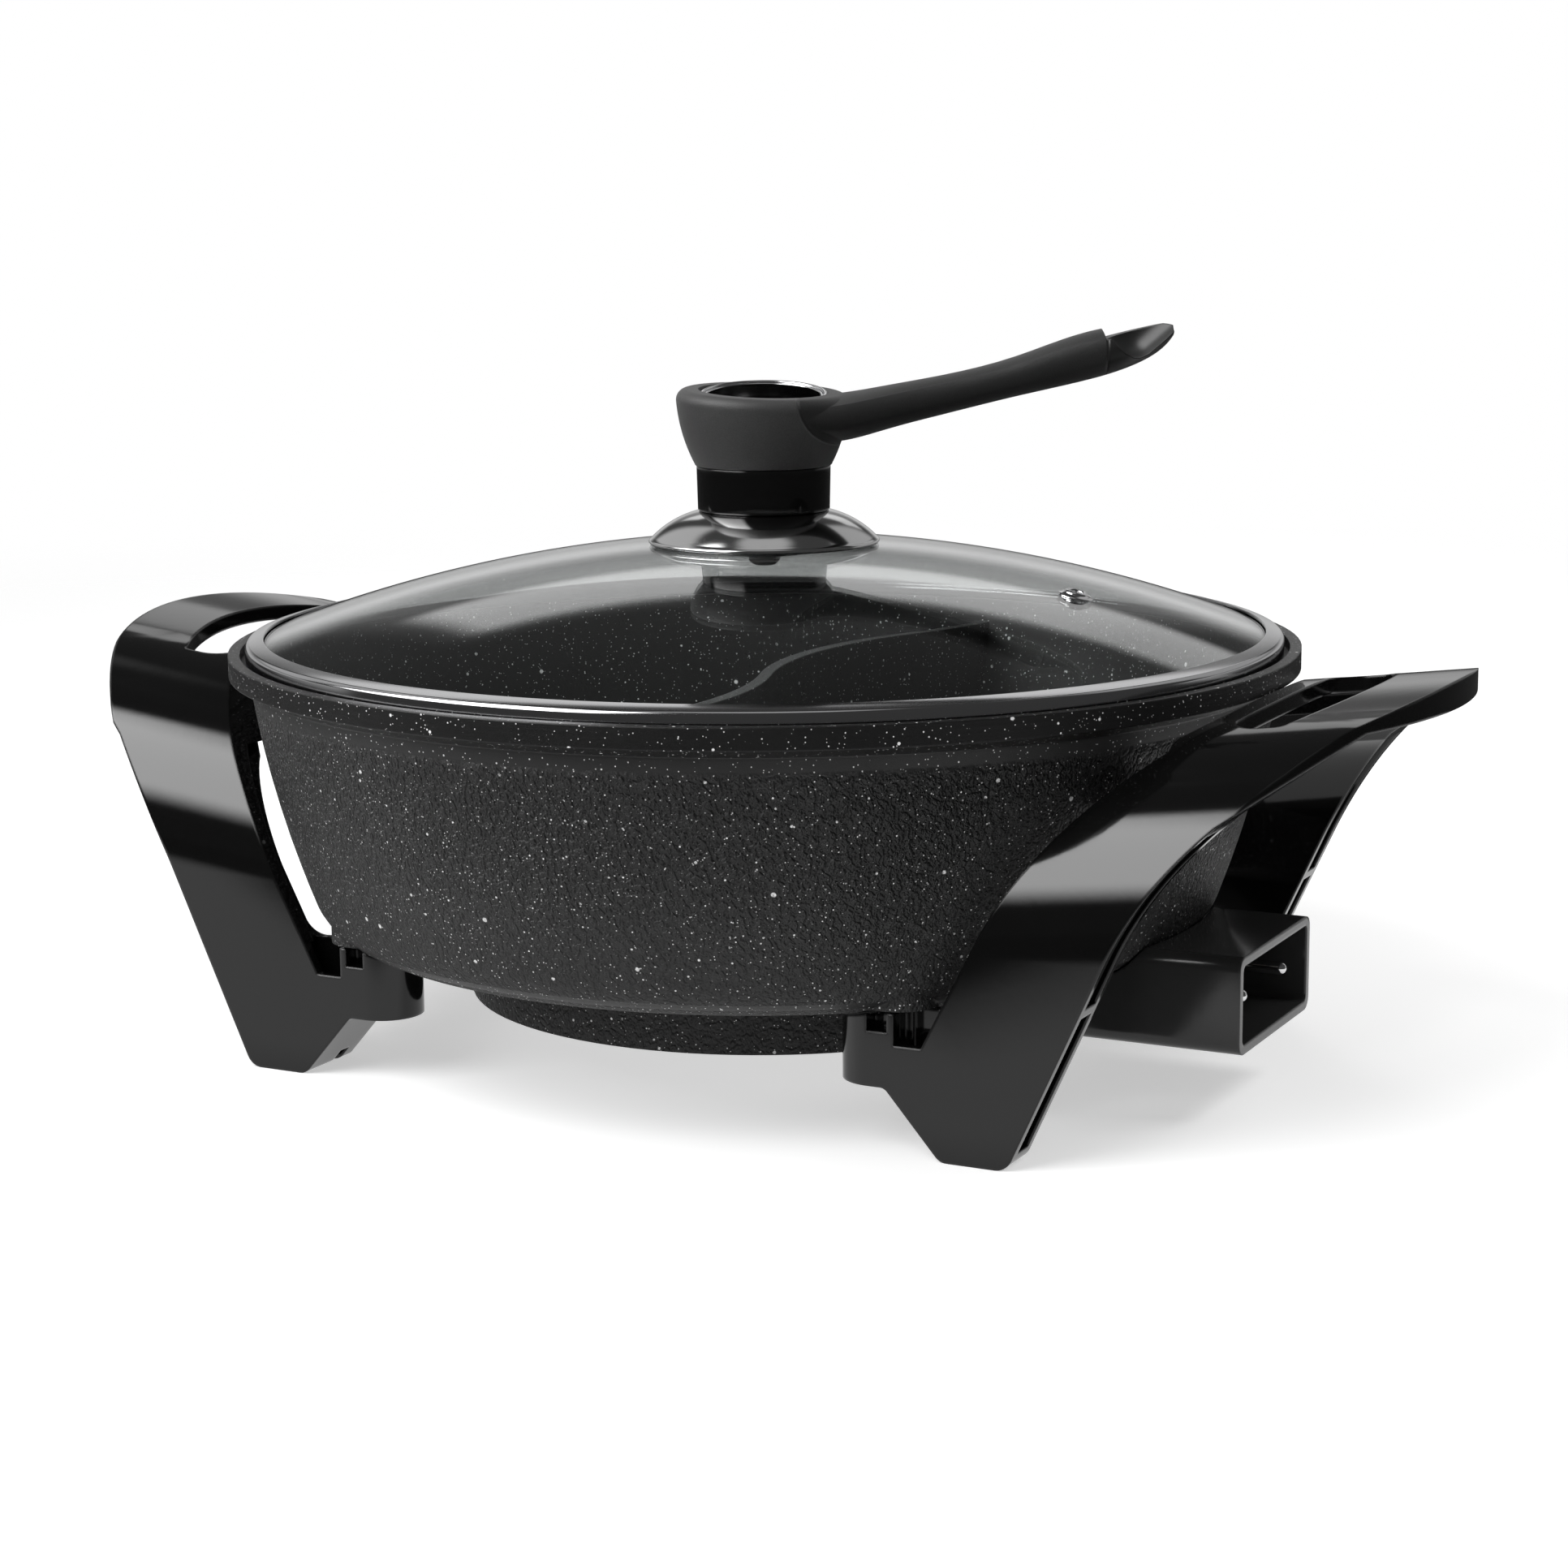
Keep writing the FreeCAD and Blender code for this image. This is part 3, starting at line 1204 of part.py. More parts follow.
def handle_washers():
    """Four washers between the screw heads and the brackets."""
    washers = []
    for number, (side, end) in enumerate(four_corners(), start=1):
        low = D.seat_height - D.washer_thick
        bore = D.screw_radius + 2 * D.slide_gap
        disc = turned_piece("washer_%d" % number, [
            (bore, low), (D.washer_radius, low), (D.washer_radius, D.seat_height), (bore, D.seat_height)])
        washers.append(place(disc, side * D.seat_x, end * D.lug_y, 0))
    return group("handle_washers", washers)


def housing_screws():
    """Two screws that hold the connector housing to the pan."""
    return group("housing_screws", [
        screw("housing_screw_%d" % number, D.small_screw, D.small_head, D.small_head_height, D.post_x,
              end * D.post_y, post_seat(), post_screw_top() - 0.3)
        for number, end in enumerate((1, -1), start=1)])


def shield_screws():
    """Three screws that hold the heat shield."""
    screws = []
    for number in range(3):
        turn = math.radians(60 + 120 * number)
        screws.append(screw("shield_screw_%d" % (number + 1), D.small_screw, D.small_head,
                            D.small_head_height * 0.8, D.pillar_circle * math.cos(turn),
                            D.pillar_circle * math.sin(turn), D.cover_bottom,
                            D.cover_bottom + D.cover_tap_depth - 0.5))
    return group("shield_screws", screws)


# ---------------------------------------------------------------------------------------------------
# Lid
# ---------------------------------------------------------------------------------------------------

def dome_height(radius, inset=size(0)):
    """Height of the dome at a radius, inset from its outer surface."""
    return D.dome_top - D.dome_radius + leg_of(D.dome_radius - inset, radius)


def lid_glass():
    """Domed glass with a hole for the knob's screw and one for the steam vent."""
    hole = D.knob_screw + 1.0
    dome = turned_piece("dome_blank", [
        (hole, dome_height(hole)),
        (D.glass_edge, dome_height(D.glass_edge), D.dome_radius, 1),
        (D.glass_edge, dome_height(D.glass_edge, D.glass)),
        (hole, dome_height(hole, D.glass), D.dome_radius - D.glass, -1)])
    way = turned_piece("vent_way", [
        (0, -D.glass * 2), (D.vent_tube + D.slide_gap, -D.glass * 2), (D.vent_tube + D.slide_gap, D.glass),
        (0, D.glass)])
    set_on_dome(way)
    return less("lid_glass", dome, [way])


def set_on_dome(thing):
    """Stand an object on the dome at the vent, along the dome's normal."""
    lean = math.degrees(math.asin(D.vent_radius.value / D.dome_radius.value))
    lean_turn = FreeCAD.Rotation(FreeCAD.Vector(0, 1, 0), lean)
    bearing = FreeCAD.Rotation(FreeCAD.Vector(0, 0, 1), D.vent_bearing.value)
    thing.Placement = FreeCAD.Placement(FreeCAD.Vector(0, 0, 0), bearing.multiply(lean_turn))
    bearing = math.radians(D.vent_bearing.value)
    return place(thing, D.vent_radius * math.cos(bearing), D.vent_radius * math.sin(bearing),
                 dome_height(D.vent_radius))


def lid_rim_band():
    """Steel band folded round the glass's edge."""
    low = D.band_low
    high = dome_height(D.glass_edge) + D.band_crown
    inner_high = dome_height(D.band_inner) + D.band_crown * 0.9
    outer = D.band_radius
    metal = D.band_metal
    return turned_piece("lid_rim_band", [
        (D.band_inner, low),
        (outer - 1, low),
        (outer, low + 1, size(1), -1),
        (outer, high - 1.4),
        (outer - 1.6, high, size(1.8), -1),
        (D.band_inner, inner_high),
        (D.band_inner, inner_high - metal),
        (outer - 1.9, high - metal),
        (outer - metal, high - 1.9, size(1.2), 1),
        (outer - metal, low + metal),
        (D.band_inner, low + metal)])


def steam_vent():
    """Eyelet riveted through the glass."""
    over = size(0.05)
    rise = size(1.5)
    under = D.glass + 0.1
    eyelet = turned_piece("steam_vent", [
        (D.vent_bore, rise - 0.3),
        (D.vent_bore + 0.9, rise + 0.3, size(0.7), 1),
        (D.vent_bore + 1.7, rise - 0.4, size(0.9), 1),
        (D.vent_flange - 0.7, rise - 0.8),
        (D.vent_flange, over + 0.15, size(0.8), 1),
        (D.vent_flange, over),
        (D.vent_tube, over),
        (D.vent_tube, -under),
        (D.vent_flange - 0.5, -under),
        (D.vent_flange - 0.7, -under - 0.8),
        (D.vent_bore, -under - 0.8)])
    return set_on_dome(eyelet)


def knob_skirt():
    """Domed steel skirt between the glass and the knob."""
    top = D.skirt_top
    metal = D.skirt_metal
    hole = D.stem_radius + D.slide_gap
    low = D.skirt_bottom
    return turned_piece("knob_skirt", [
        (hole, top),
        (D.collar_radius - 1.5, top),
        (D.skirt_radius - 0.6, low + 1.6, D.skirt_bend, 1),
        (D.skirt_radius, low + 0.6, size(1.0), 1),
        (D.skirt_radius - 0.8, low),
        (D.skirt_radius - 2.2, low),
        (D.skirt_radius - 2.2, low + 1.2),
        (D.collar_radius - 1.9, top - metal, D.skirt_bend - metal, -1),
        (hole, top - metal)])


def knob_collar():
    """Glossy collar with a stem that goes down through the skirt."""
    low = D.skirt_top
    high = low + D.collar_height
    stem_low = D.dome_top + D.pad_thick
    bore = D.knob_screw + D.slide_gap
    return turned_piece("knob_collar", [
        (bore, stem_low),
        (D.stem_radius, stem_low),
        (D.stem_radius, low),
        (D.collar_radius - 0.8, low),
        (D.collar_radius - 0.3, low + 0.5, size(0.6), -1),
        (D.collar_radius, high - 0.4),
        (D.collar_radius - 0.4, high),
        (bore, high)])


def leaning(thing, lean, fall, height):
    """Stand an object on the knob's axis, leaning to the arm's near side and falling along the arm."""
    falling = FreeCAD.Rotation(FreeCAD.Vector(0, 1, 0), fall.value)
    thing.Placement.Rotation = falling.multiply(FreeCAD.Rotation(FreeCAD.Vector(1, 0, 0), lean.value))
    return place(thing, 0, 0, height)


def in_mouth(thing):
    """Put an object in the cup's mouth: its own Z = 0 is the level of the trim ring's top."""
    return leaning(thing, D.mouth_lean, size(0), D.cup_base + D.mouth_height)


def cup_blank():
    """The cup with a solid inside: a turned body that a leaning plane cuts off, with a round lip."""
    low = D.cup_base
    lip = low + D.lip_height
    bore = D.knob_screw + D.slide_gap
    tall = turned_piece("cup_turned", [
        (0, D.knob_screw_top + D.screw_gap),
        (bore, D.knob_screw_top + D.screw_gap),
        (bore, low),
        (D.collar_radius, low),
        (D.collar_radius + D.cup_foot, low + D.cup_foot, D.cup_foot * 1.2, -1),
        (D.cup_radius, lip + D.lip_round, D.cup_bend, -1),
        (0, lip + D.lip_round),
    ])
    above = leaning(cylinder("above_lip", D.cup_radius * 2, D.cup_radius * 2), D.lip_lean, D.lip_fall, lip)
    cut = less("cup_cut", tall, [above])
    DOC.recompute()
    rim = DOC.addObject("Part::Fillet", "cup_rounded")
    rim.Base = cut
    level = [number for number, edge in enumerate(cut.Shape.Edges, start=1)
             if edge.CenterOfMass.z > (lip - D.lip_round / 2).value]
    rim.Edges = [(number, D.lip_round.value, D.lip_round.value) for number in level]
    return rim


def arm_section(number, reach):
    """One cross-section of the arm: a flat arch on top, round sides and a round underside."""
    top = D.cup_base + getattr(D, "arm_top_%d" % number)
    depth = getattr(D, "arm_depth_%d" % number)
    half = getattr(D, "arm_half_%d" % number)
    wide = half * 0.9
    high = top - depth * 0.18
    low = top - depth * 0.7
    side_bow = bow_radius(high - low, half * 0.1)
    sketch = DOC.addObject("Sketcher::SketchObject", "arm_section_%d" % number)
    draw_outline(sketch, [
        (wide, high, side_bow, -1),
        (-wide, high, bow_radius(wide * 2, top - high), -1),
        (-wide, low, side_bow, -1),
        (wide, low, bow_radius(wide * 2, depth * 0.3), -1),
    ])
    sketch.Placement.Rotation = FreeCAD.Rotation(FreeCAD.Vector(1, 1, 1), 120)
    return place(sketch, reach, 0, 0)


def arm_blank():
    """Arm lofted through its cross-sections, from inside the cup to the tip."""
    reach = size(0)
    sections = []
    for number in range(1, len(ARM_SECTIONS) + 1):
        reach = reach + getattr(D, "arm_step_%d" % number)
        sections.append(arm_section(number, reach))
    loft = DOC.addObject("Part::Loft", "arm_blank")
    loft.Sections = sections
    loft.Solid = True
    return loft


def scoop():
    """Cutter for the scoop near the arm's tip: a ball and a slanting run, open to the near side."""
    height = D.cup_base + D.scoop_height
    ball = DOC.addObject("Part::Sphere", "scoop_ball")
    bind(ball, "Radius", D.scoop_radius)
    place(ball, D.scoop_reach, -D.scoop_side, height)
    run = cylinder("scoop_run", D.scoop_radius, D.scoop_radius * 4)
    run.Placement.Rotation = FreeCAD.Rotation(FreeCAD.Vector(0, 1, 0), 90 - D.scoop_slope.value)
    place(run, D.scoop_reach, -D.scoop_side, height)
    return joined("scoop", [ball, run])


def above_rim():
    """Cutter that takes the arm down from its shoulder to the scoop's sloping rim."""
    high = D.scoop_radius * 3
    slab = block("above_rim", 0, 0, 0, D.scoop_radius * 5, D.cup_radius * 2, high)
    slab.Placement.Rotation = FreeCAD.Rotation(FreeCAD.Vector(0, 1, 0), -D.rim_slope.value)
    return place(slab, D.shoulder_reach, -D.cup_radius, D.cup_base + D.shoulder_rim)


def knob_handle():
    """Soft-touch cup with the long arm that lets the lid stand on its side."""
    floor = -D.mouth_depth
    mouth = turned_piece("mouth_way", [
        (0, floor), (D.mouth_radius, floor), (D.mouth_radius, D.mouth_depth), (0, D.mouth_depth)])
    in_mouth(mouth)
    arm = less("arm_open", arm_blank(), [above_rim(), scoop()])
    whole = joined("knob_whole", [cup_blank(), arm])
    return less("knob_handle", whole, [mouth])


def trim_ring():
    """Bright ring in the cup's mouth: an outer bead and a lower inner one."""
    outer = D.mouth_radius - D.slide_gap
    groove = outer - D.trim_bead
    inner = groove - D.trim_step
    bead = -D.trim_bead / 2
    step = bead - D.trim_step / 2
    ring = turned_piece("knob_trim_ring", [
        (inner, -D.trim_depth),
        (outer, -D.trim_depth),
        (outer, bead),
        (groove, bead, D.trim_bead * 0.52, -1),
        (groove, step),
        (inner, step, D.trim_step * 0.6, -1)])
    return in_mouth(ring)


def well_insert():
    """Glossy dish that lines the cup's mouth under the trim ring."""
    outer = D.mouth_radius - D.slide_gap
    inner = outer - D.well_skin
    floor = -D.mouth_depth
    bend = D.well_skin * 1.4
    dish = turned_piece("knob_well_insert", [
        (0, floor), (outer, floor), (outer, -D.trim_depth), (inner, -D.trim_depth),
        (inner, floor + D.well_skin + bend), (inner - bend, floor + D.well_skin, bend, 1),
        (0, floor + D.well_skin)])
    return in_mouth(dish)


def knob_screw():
    """Screw from inside the lid up into the knob."""
    seat = dome_height(size(0), D.glass) - D.pad_thick - 1.2
    return screw("knob_screw_piece", D.knob_screw, D.knob_screw_head, 3.2, 0, 0, seat, D.knob_screw_top)


def lid_pads():
    """Silicone pads above and below the glass, and the steel washer under them."""
    bore = D.knob_screw + 2 * D.slide_gap
    over = D.dome_top
    under = dome_height(D.pad_radius, D.glass)
    top = over + D.pad_thick
    upper = turned_piece("upper_gasket", [
        (bore, over), (D.pad_radius, over), (D.pad_radius, top), (bore, top)])
    flat = dome_height(size(0), D.glass) - D.pad_thick
    lower = turned_piece("lower_gasket", [
        (bore, flat), (D.pad_radius, flat), (D.pad_radius, under), (bore, under)])
    washer = turned_piece("knob_washer", [
        (bore, flat - 1.2), (D.pad_radius + 2, flat - 1.2), (D.pad_radius + 2, flat), (bore, flat)])
    return [upper, lower, washer]


# ---------------------------------------------------------------------------------------------------
# Assembly and export
# ---------------------------------------------------------------------------------------------------

def turn_about_axis(label, source):
    """Turn a piece of the knob to the arm's bearing."""
    turn = DOC.addObject("Part::Compound", label + "_turned")
    turn.Links = [source]
    turn.Placement = FreeCAD.Placement(FreeCAD.Vector(0, 0, 0),
                                       FreeCAD.Rotation(FreeCAD.Vector(0, 0, 1), D.arm_bearing.value))
    return turn


def build():
    """Make every node and return them by name."""
    right = right_handle_leg()
    nodes = {
        "pan_casting": pan_casting(),
        "right_handle_leg": right,
        "left_handle_leg": left_handle_leg(right),
        "handle_screws": handle_screws(),
        "handle_washers": handle_washers(),
        "connector_housing": connector_housing(),
        "housing_screws": housing_screws(),
        "terminal_pin_front": terminal_pin("terminal_pin_front", -1),
        "terminal_pin_rear": terminal_pin("terminal_pin_rear", 1),
        "terminal_bush_front": terminal_bush("terminal_bush_front", -1),
        "terminal_bush_rear": terminal_bush("terminal_bush_rear", 1),
        "sensor_guide_tube": sensor_guide_tube(),
        "earth_spring": earth_spring(),
        "heating_element": heating_element(),
        "heat_shield": heat_shield(),
        "shield_screws": shield_screws(),
        "lid_glass": lid_glass(),
        "lid_rim_band": lid_rim_band(),
        "steam_vent": steam_vent(),
        "knob_skirt": knob_skirt(),
        "knob_collar": knob_collar(),
        "knob_handle": turn_about_axis("knob_handle", knob_handle()),
        "knob_trim_ring": turn_about_axis("knob_trim_ring", trim_ring()),
        "knob_well_insert": turn_about_axis("knob_well_insert", well_insert()),
        "knob_screw": knob_screw(),
    }
    for pad in lid_pads():
        nodes[pad.Label] = pad
    return nodes


def check(nodes):
    """Stop if any object failed or any node is empty or not valid."""
    failed = [thing.Name for thing in DOC.Objects
              if "Invalid" in thing.State or "Error" in thing.State]
    if failed:
        raise RuntimeError("failed objects: " + ", ".join(failed))
    for name, node in nodes.items():
        if node.Shape.isNull() or not node.Shape.isValid() or not node.Shape.Solids:
            raise RuntimeError("bad shape: " + name)


def export(nodes):
    """Write one STEP file for each node."""
    os.makedirs("parts", exist_ok=True)
    for name, node in nodes.items():
        node.Label = name
        node.Shape.exportStep("parts/%s.step" % name)
        box = node.Shape.BoundBox
        print("%-22s solids %d volume %10.0f  x %.1f %.1f  y %.1f %.1f  z %.1f %.1f" % (
            name, len(node.Shape.Solids), node.Shape.Volume, box.XMin, box.XMax, box.YMin, box.YMax,
            box.ZMin, box.ZMax))


NODES = build()
DOC.recompute()
check(NODES)
export(NODES)
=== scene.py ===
"""Looks of an electric hot pot with a lift-off glass lid: finishes, mouldings, lid, knob and light."""

import json
import logging
import math
from dataclasses import dataclass, field
from enum import Enum
from typing import Callable, Mapping, Optional, Sequence, Union

import bmesh
import bpy
from mathutils import Matrix, Vector


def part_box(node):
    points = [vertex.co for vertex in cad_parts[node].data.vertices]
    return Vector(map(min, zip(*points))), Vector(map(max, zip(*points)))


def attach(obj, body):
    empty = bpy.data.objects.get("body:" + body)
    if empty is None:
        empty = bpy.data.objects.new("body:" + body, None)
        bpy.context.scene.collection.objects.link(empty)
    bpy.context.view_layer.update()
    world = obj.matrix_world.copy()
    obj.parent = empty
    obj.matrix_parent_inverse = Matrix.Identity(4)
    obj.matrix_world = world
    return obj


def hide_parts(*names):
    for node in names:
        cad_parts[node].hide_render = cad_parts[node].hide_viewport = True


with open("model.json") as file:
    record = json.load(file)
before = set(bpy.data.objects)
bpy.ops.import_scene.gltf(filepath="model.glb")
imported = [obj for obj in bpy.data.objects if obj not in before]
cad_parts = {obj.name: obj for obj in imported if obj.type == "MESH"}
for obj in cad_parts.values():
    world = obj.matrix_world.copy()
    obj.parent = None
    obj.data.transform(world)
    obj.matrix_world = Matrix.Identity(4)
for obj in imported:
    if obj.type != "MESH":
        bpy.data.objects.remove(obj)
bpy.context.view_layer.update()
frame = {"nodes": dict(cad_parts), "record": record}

MM = 0.001
MERGE_DISTANCE = 0.004 * MM
ON_AXIS = 1e-6
log = logging.getLogger("hot_pot")

Socket = bpy.types.NodeSocket
Operand = Union["Value", Socket, float, int, Sequence[float]]
Corner = Sequence[float]
Point = tuple[float, float]
Arc = tuple[Vector, float]


# Shader graphs


def operator(operation: str, turned_round: bool = False) -> Callable[["Value", Operand], "Value"]:
    """Method that stands for a Python operator and adds a Math node.

    Args:
        operation: What the node works out.
        turned_round: Whether the wrapped number comes second.

    Returns:
        The method.
    """
    def method(self: "Value", other: Operand) -> "Value":
        """Add the node and wrap its result."""
        return self.graph.math(operation, *((other, self) if turned_round else (self, other)))
    return method


class Value:
    """A number in a shader graph; Python operators on it add Math nodes."""

    def __init__(self, graph: "Graph", socket: Socket) -> None:
        """Wrap an output socket that carries a number."""
        self.graph = graph
        self.socket = socket

    __add__ = __radd__ = operator("ADD")
    __sub__ = operator("SUBTRACT")
    __rsub__ = operator("SUBTRACT", turned_round=True)
    __mul__ = __rmul__ = operator("MULTIPLY")
    __pow__ = operator("POWER")
    __gt__ = operator("GREATER_THAN")


class Graph:
    """The node tree of a material, a world or a Geometry Nodes modifier."""

    def __init__(self, tree: bpy.types.NodeTree, output: str) -> None:
        """Empty the tree and give it an output node.

        Args:
            tree: The node tree.
            output: The type of the output node.
        """
        self.tree = tree
        tree.nodes.clear()
        self.output = tree.nodes.new(output)

    def add(self, kind: str, settings: Optional[Mapping[str, object]] = None,
            sockets: Optional[Mapping[Union[str, int], Operand]] = None) -> bpy.types.Node:
        """Add a node of any type.

        Args:
            kind: The node's type.
            settings: The node's settings, which are set first.
            sockets: Values or links of its input sockets, by name or number.

        Returns:
            The new node.
        """
        node = self.tree.nodes.new(kind)
        for name, setting in (settings or {}).items():
            setattr(node, name, setting)
        for key, operand in (sockets or {}).items():
            source = operand.socket if isinstance(operand, Value) else operand
            if isinstance(source, Socket):
                self.tree.links.new(source, node.inputs[key])
            else:
                node.inputs[key].default_value = source
        return node

    def math(self, operation: str, *operands: Operand) -> Value:
        """Result of a Math node that works on the operands."""
        node = self.add("ShaderNodeMath", {"operation": operation}, dict(enumerate(operands)))
        return Value(self, node.outputs[0])

    def place(self) -> Socket:
        """Position on the piece, in the object's own frame."""
        return self.add("ShaderNodeTexCoord").outputs["Object"]

    def split(self, vector: Socket) -> tuple[Value, Value, Value]:
        """The three coordinates of a vector."""
        x, y, z = self.add("ShaderNodeSeparateXYZ", sockets={0: vector}).outputs
        return Value(self, x), Value(self, y), Value(self, z)

    def join(self, x: Operand, y: Operand, z: Operand) -> Socket:
        """A vector from three coordinates."""
        return self.add("ShaderNodeCombineXYZ", sockets={0: x, 1: y, 2: z}).outputs[0]

    def stretched(self, vector: Socket, by: Sequence[float]) -> Socket:
        """A vector with each coordinate multiplied."""
        return self.add("ShaderNodeVectorMath", {"operation": "MULTIPLY"}, {0: vector, 1: by}).outputs[0]

    def round_away(self, x: Operand, y: Operand) -> Value:
        """Length of a flat vector."""
        return self.math("SQRT", x * x + y * y)

    def noise(self, vector: Socket, scale: float, detail: float = 2.0) -> Value:
        """Smooth noise from 0 to 1, with scale features per metre and detail finer layers."""
        node = self.add("ShaderNodeTexNoise", sockets={"Vector": vector, "Scale": scale, "Detail": detail})
        return Value(self, node.outputs[0])

    def cells(self, vector: Socket, scale: float) -> tuple[Value, Value]:
        """Random cells in space.

        Args:
            vector: Where to read them.
            scale: How many cells there are per metre.

        Returns:
            The distance to the cell's point, and a random number for the cell.
        """
        node = self.add("ShaderNodeTexVoronoi", sockets={"Vector": vector, "Scale": scale})
        tone = self.add("ShaderNodeSeparateColor", sockets={0: node.outputs["Color"]})
        return Value(self, node.outputs["Distance"]), Value(self, tone.outputs[0])

    def ease(self, value: Operand, low: Operand, high: Operand,
             start: float = 0.0, stop: float = 1.0) -> Value:
        """Turn one range into another with soft ends.

        Args:
            value: The number to turn.
            low: Where the change starts.
            high: Where the change stops.
            start: The result at and before low.
            stop: The result at and after high.

        Returns:
            The turned number.
        """
        sockets = {0: value, 1: low, 2: high, 3: start, 4: stop}
        node = self.add("ShaderNodeMapRange", {"interpolation_type": "SMOOTHSTEP"}, sockets)
        return Value(self, node.outputs[0])

    def around(self, base: float, noise: Value, amount: float) -> Value:
        """A base value that a noise moves by up to half an amount either way."""
        return noise * amount + base - amount / 2

    def within(self, distance: Operand, edge: Operand, soft: float) -> Value:
        """1 where a distance is inside a soft edge, otherwise 0."""
        return self.ease(distance, edge - soft, edge + soft, 1.0, 0.0)

    def blend(self, factor: Operand, first: Operand, second: Operand) -> Socket:
        """Mix of two colours: the first where the factor is 0 and the second where it is 1."""
        return self.add("ShaderNodeMix", {"data_type": "RGBA"}, {0: factor, 6: first, 7: second}).outputs[2]

    def mix(self, factor: Operand, first: Socket, second: Socket) -> Socket:
        """Mix of two shaders: the first where the factor is 0 and the second where it is 1."""
        return self.add("ShaderNodeMixShader", sockets={0: factor, 1: first, 2: second}).outputs[0]

    def bump(self, height: Value, distance: float, under: Optional[Socket] = None) -> Socket:
        """A relief in the surface.

        Args:
            height: The relief from 0 to 1.
            distance: Its real height in metres.
            under: A coarser relief to put it on.

        Returns:
            The surface's normal.
        """
        sockets: dict[Union[str, int], Operand] = {"Height": height, "Distance": distance, "Strength": 1.0}
        if under is not None:
            sockets["Normal"] = under
        return self.add("ShaderNodeBump", sockets=sockets).outputs[0]

    def round_edges(self, radius: float) -> Socket:
        """Normal that rounds the sharp edges of the piece with a radius in metres."""
        return self.add("ShaderNodeBevel", {"samples": 6}, {"Radius": radius}).outputs[0]

    def degrees(self, value: Value) -> Value:
        """An angle in degrees from one in radians."""
        return value * (180.0 / math.pi)

    def principled(self, colour: Operand, rough: Operand, others: Mapping[str, Operand]) -> Socket:
        """Principled shader with a colour, a roughness and other sockets by name."""
        sockets = {"Base Color": colour, "Roughness": rough, **others}
        return self.add("ShaderNodeBsdfPrincipled", sockets=sockets).outputs[0]

    def close(self, result: Socket) -> None:
        """Link the finished shader or geometry to the output node."""
        self.tree.links.new(result, self.output.inputs[0])


def grey(level: float) -> tuple[float, float, float, float]:
    """A neutral colour."""
    return level, level, level, 1.0


def shade(tone: Sequence[float], share: float = 1.0) -> tuple[float, ...]:
    """A colour, darkened to a share of itself."""
    return tuple(level * share for level in tone) + (1.0,)


# Finishes


@dataclass(frozen=True)
class Finish:
    """A surface finish that makes one material."""

    name: str

    def material(self) -> bpy.types.Material:
        """Make the material, or return it if it is made already.

        Returns:
            The material.
        """
        made = bpy.data.materials.get(self.name)
        if made is None:
            made = bpy.data.materials.new(self.name)
            made.use_nodes = True
            graph = Graph(made.node_tree, "ShaderNodeOutputMaterial")
            graph.close(self.shader(graph))
        return made

    def shader(self, graph: Graph) -> Socket:
        """Build the shader in the material's graph and return its socket."""
        raise NotImplementedError


@dataclass(frozen=True)
class SpeckLayer:
    """A size of speck: its cell in metres, largest radius in cells, rarity of large ones and strength."""

    cell: float
    largest: float
    rarity: float
    strength: float


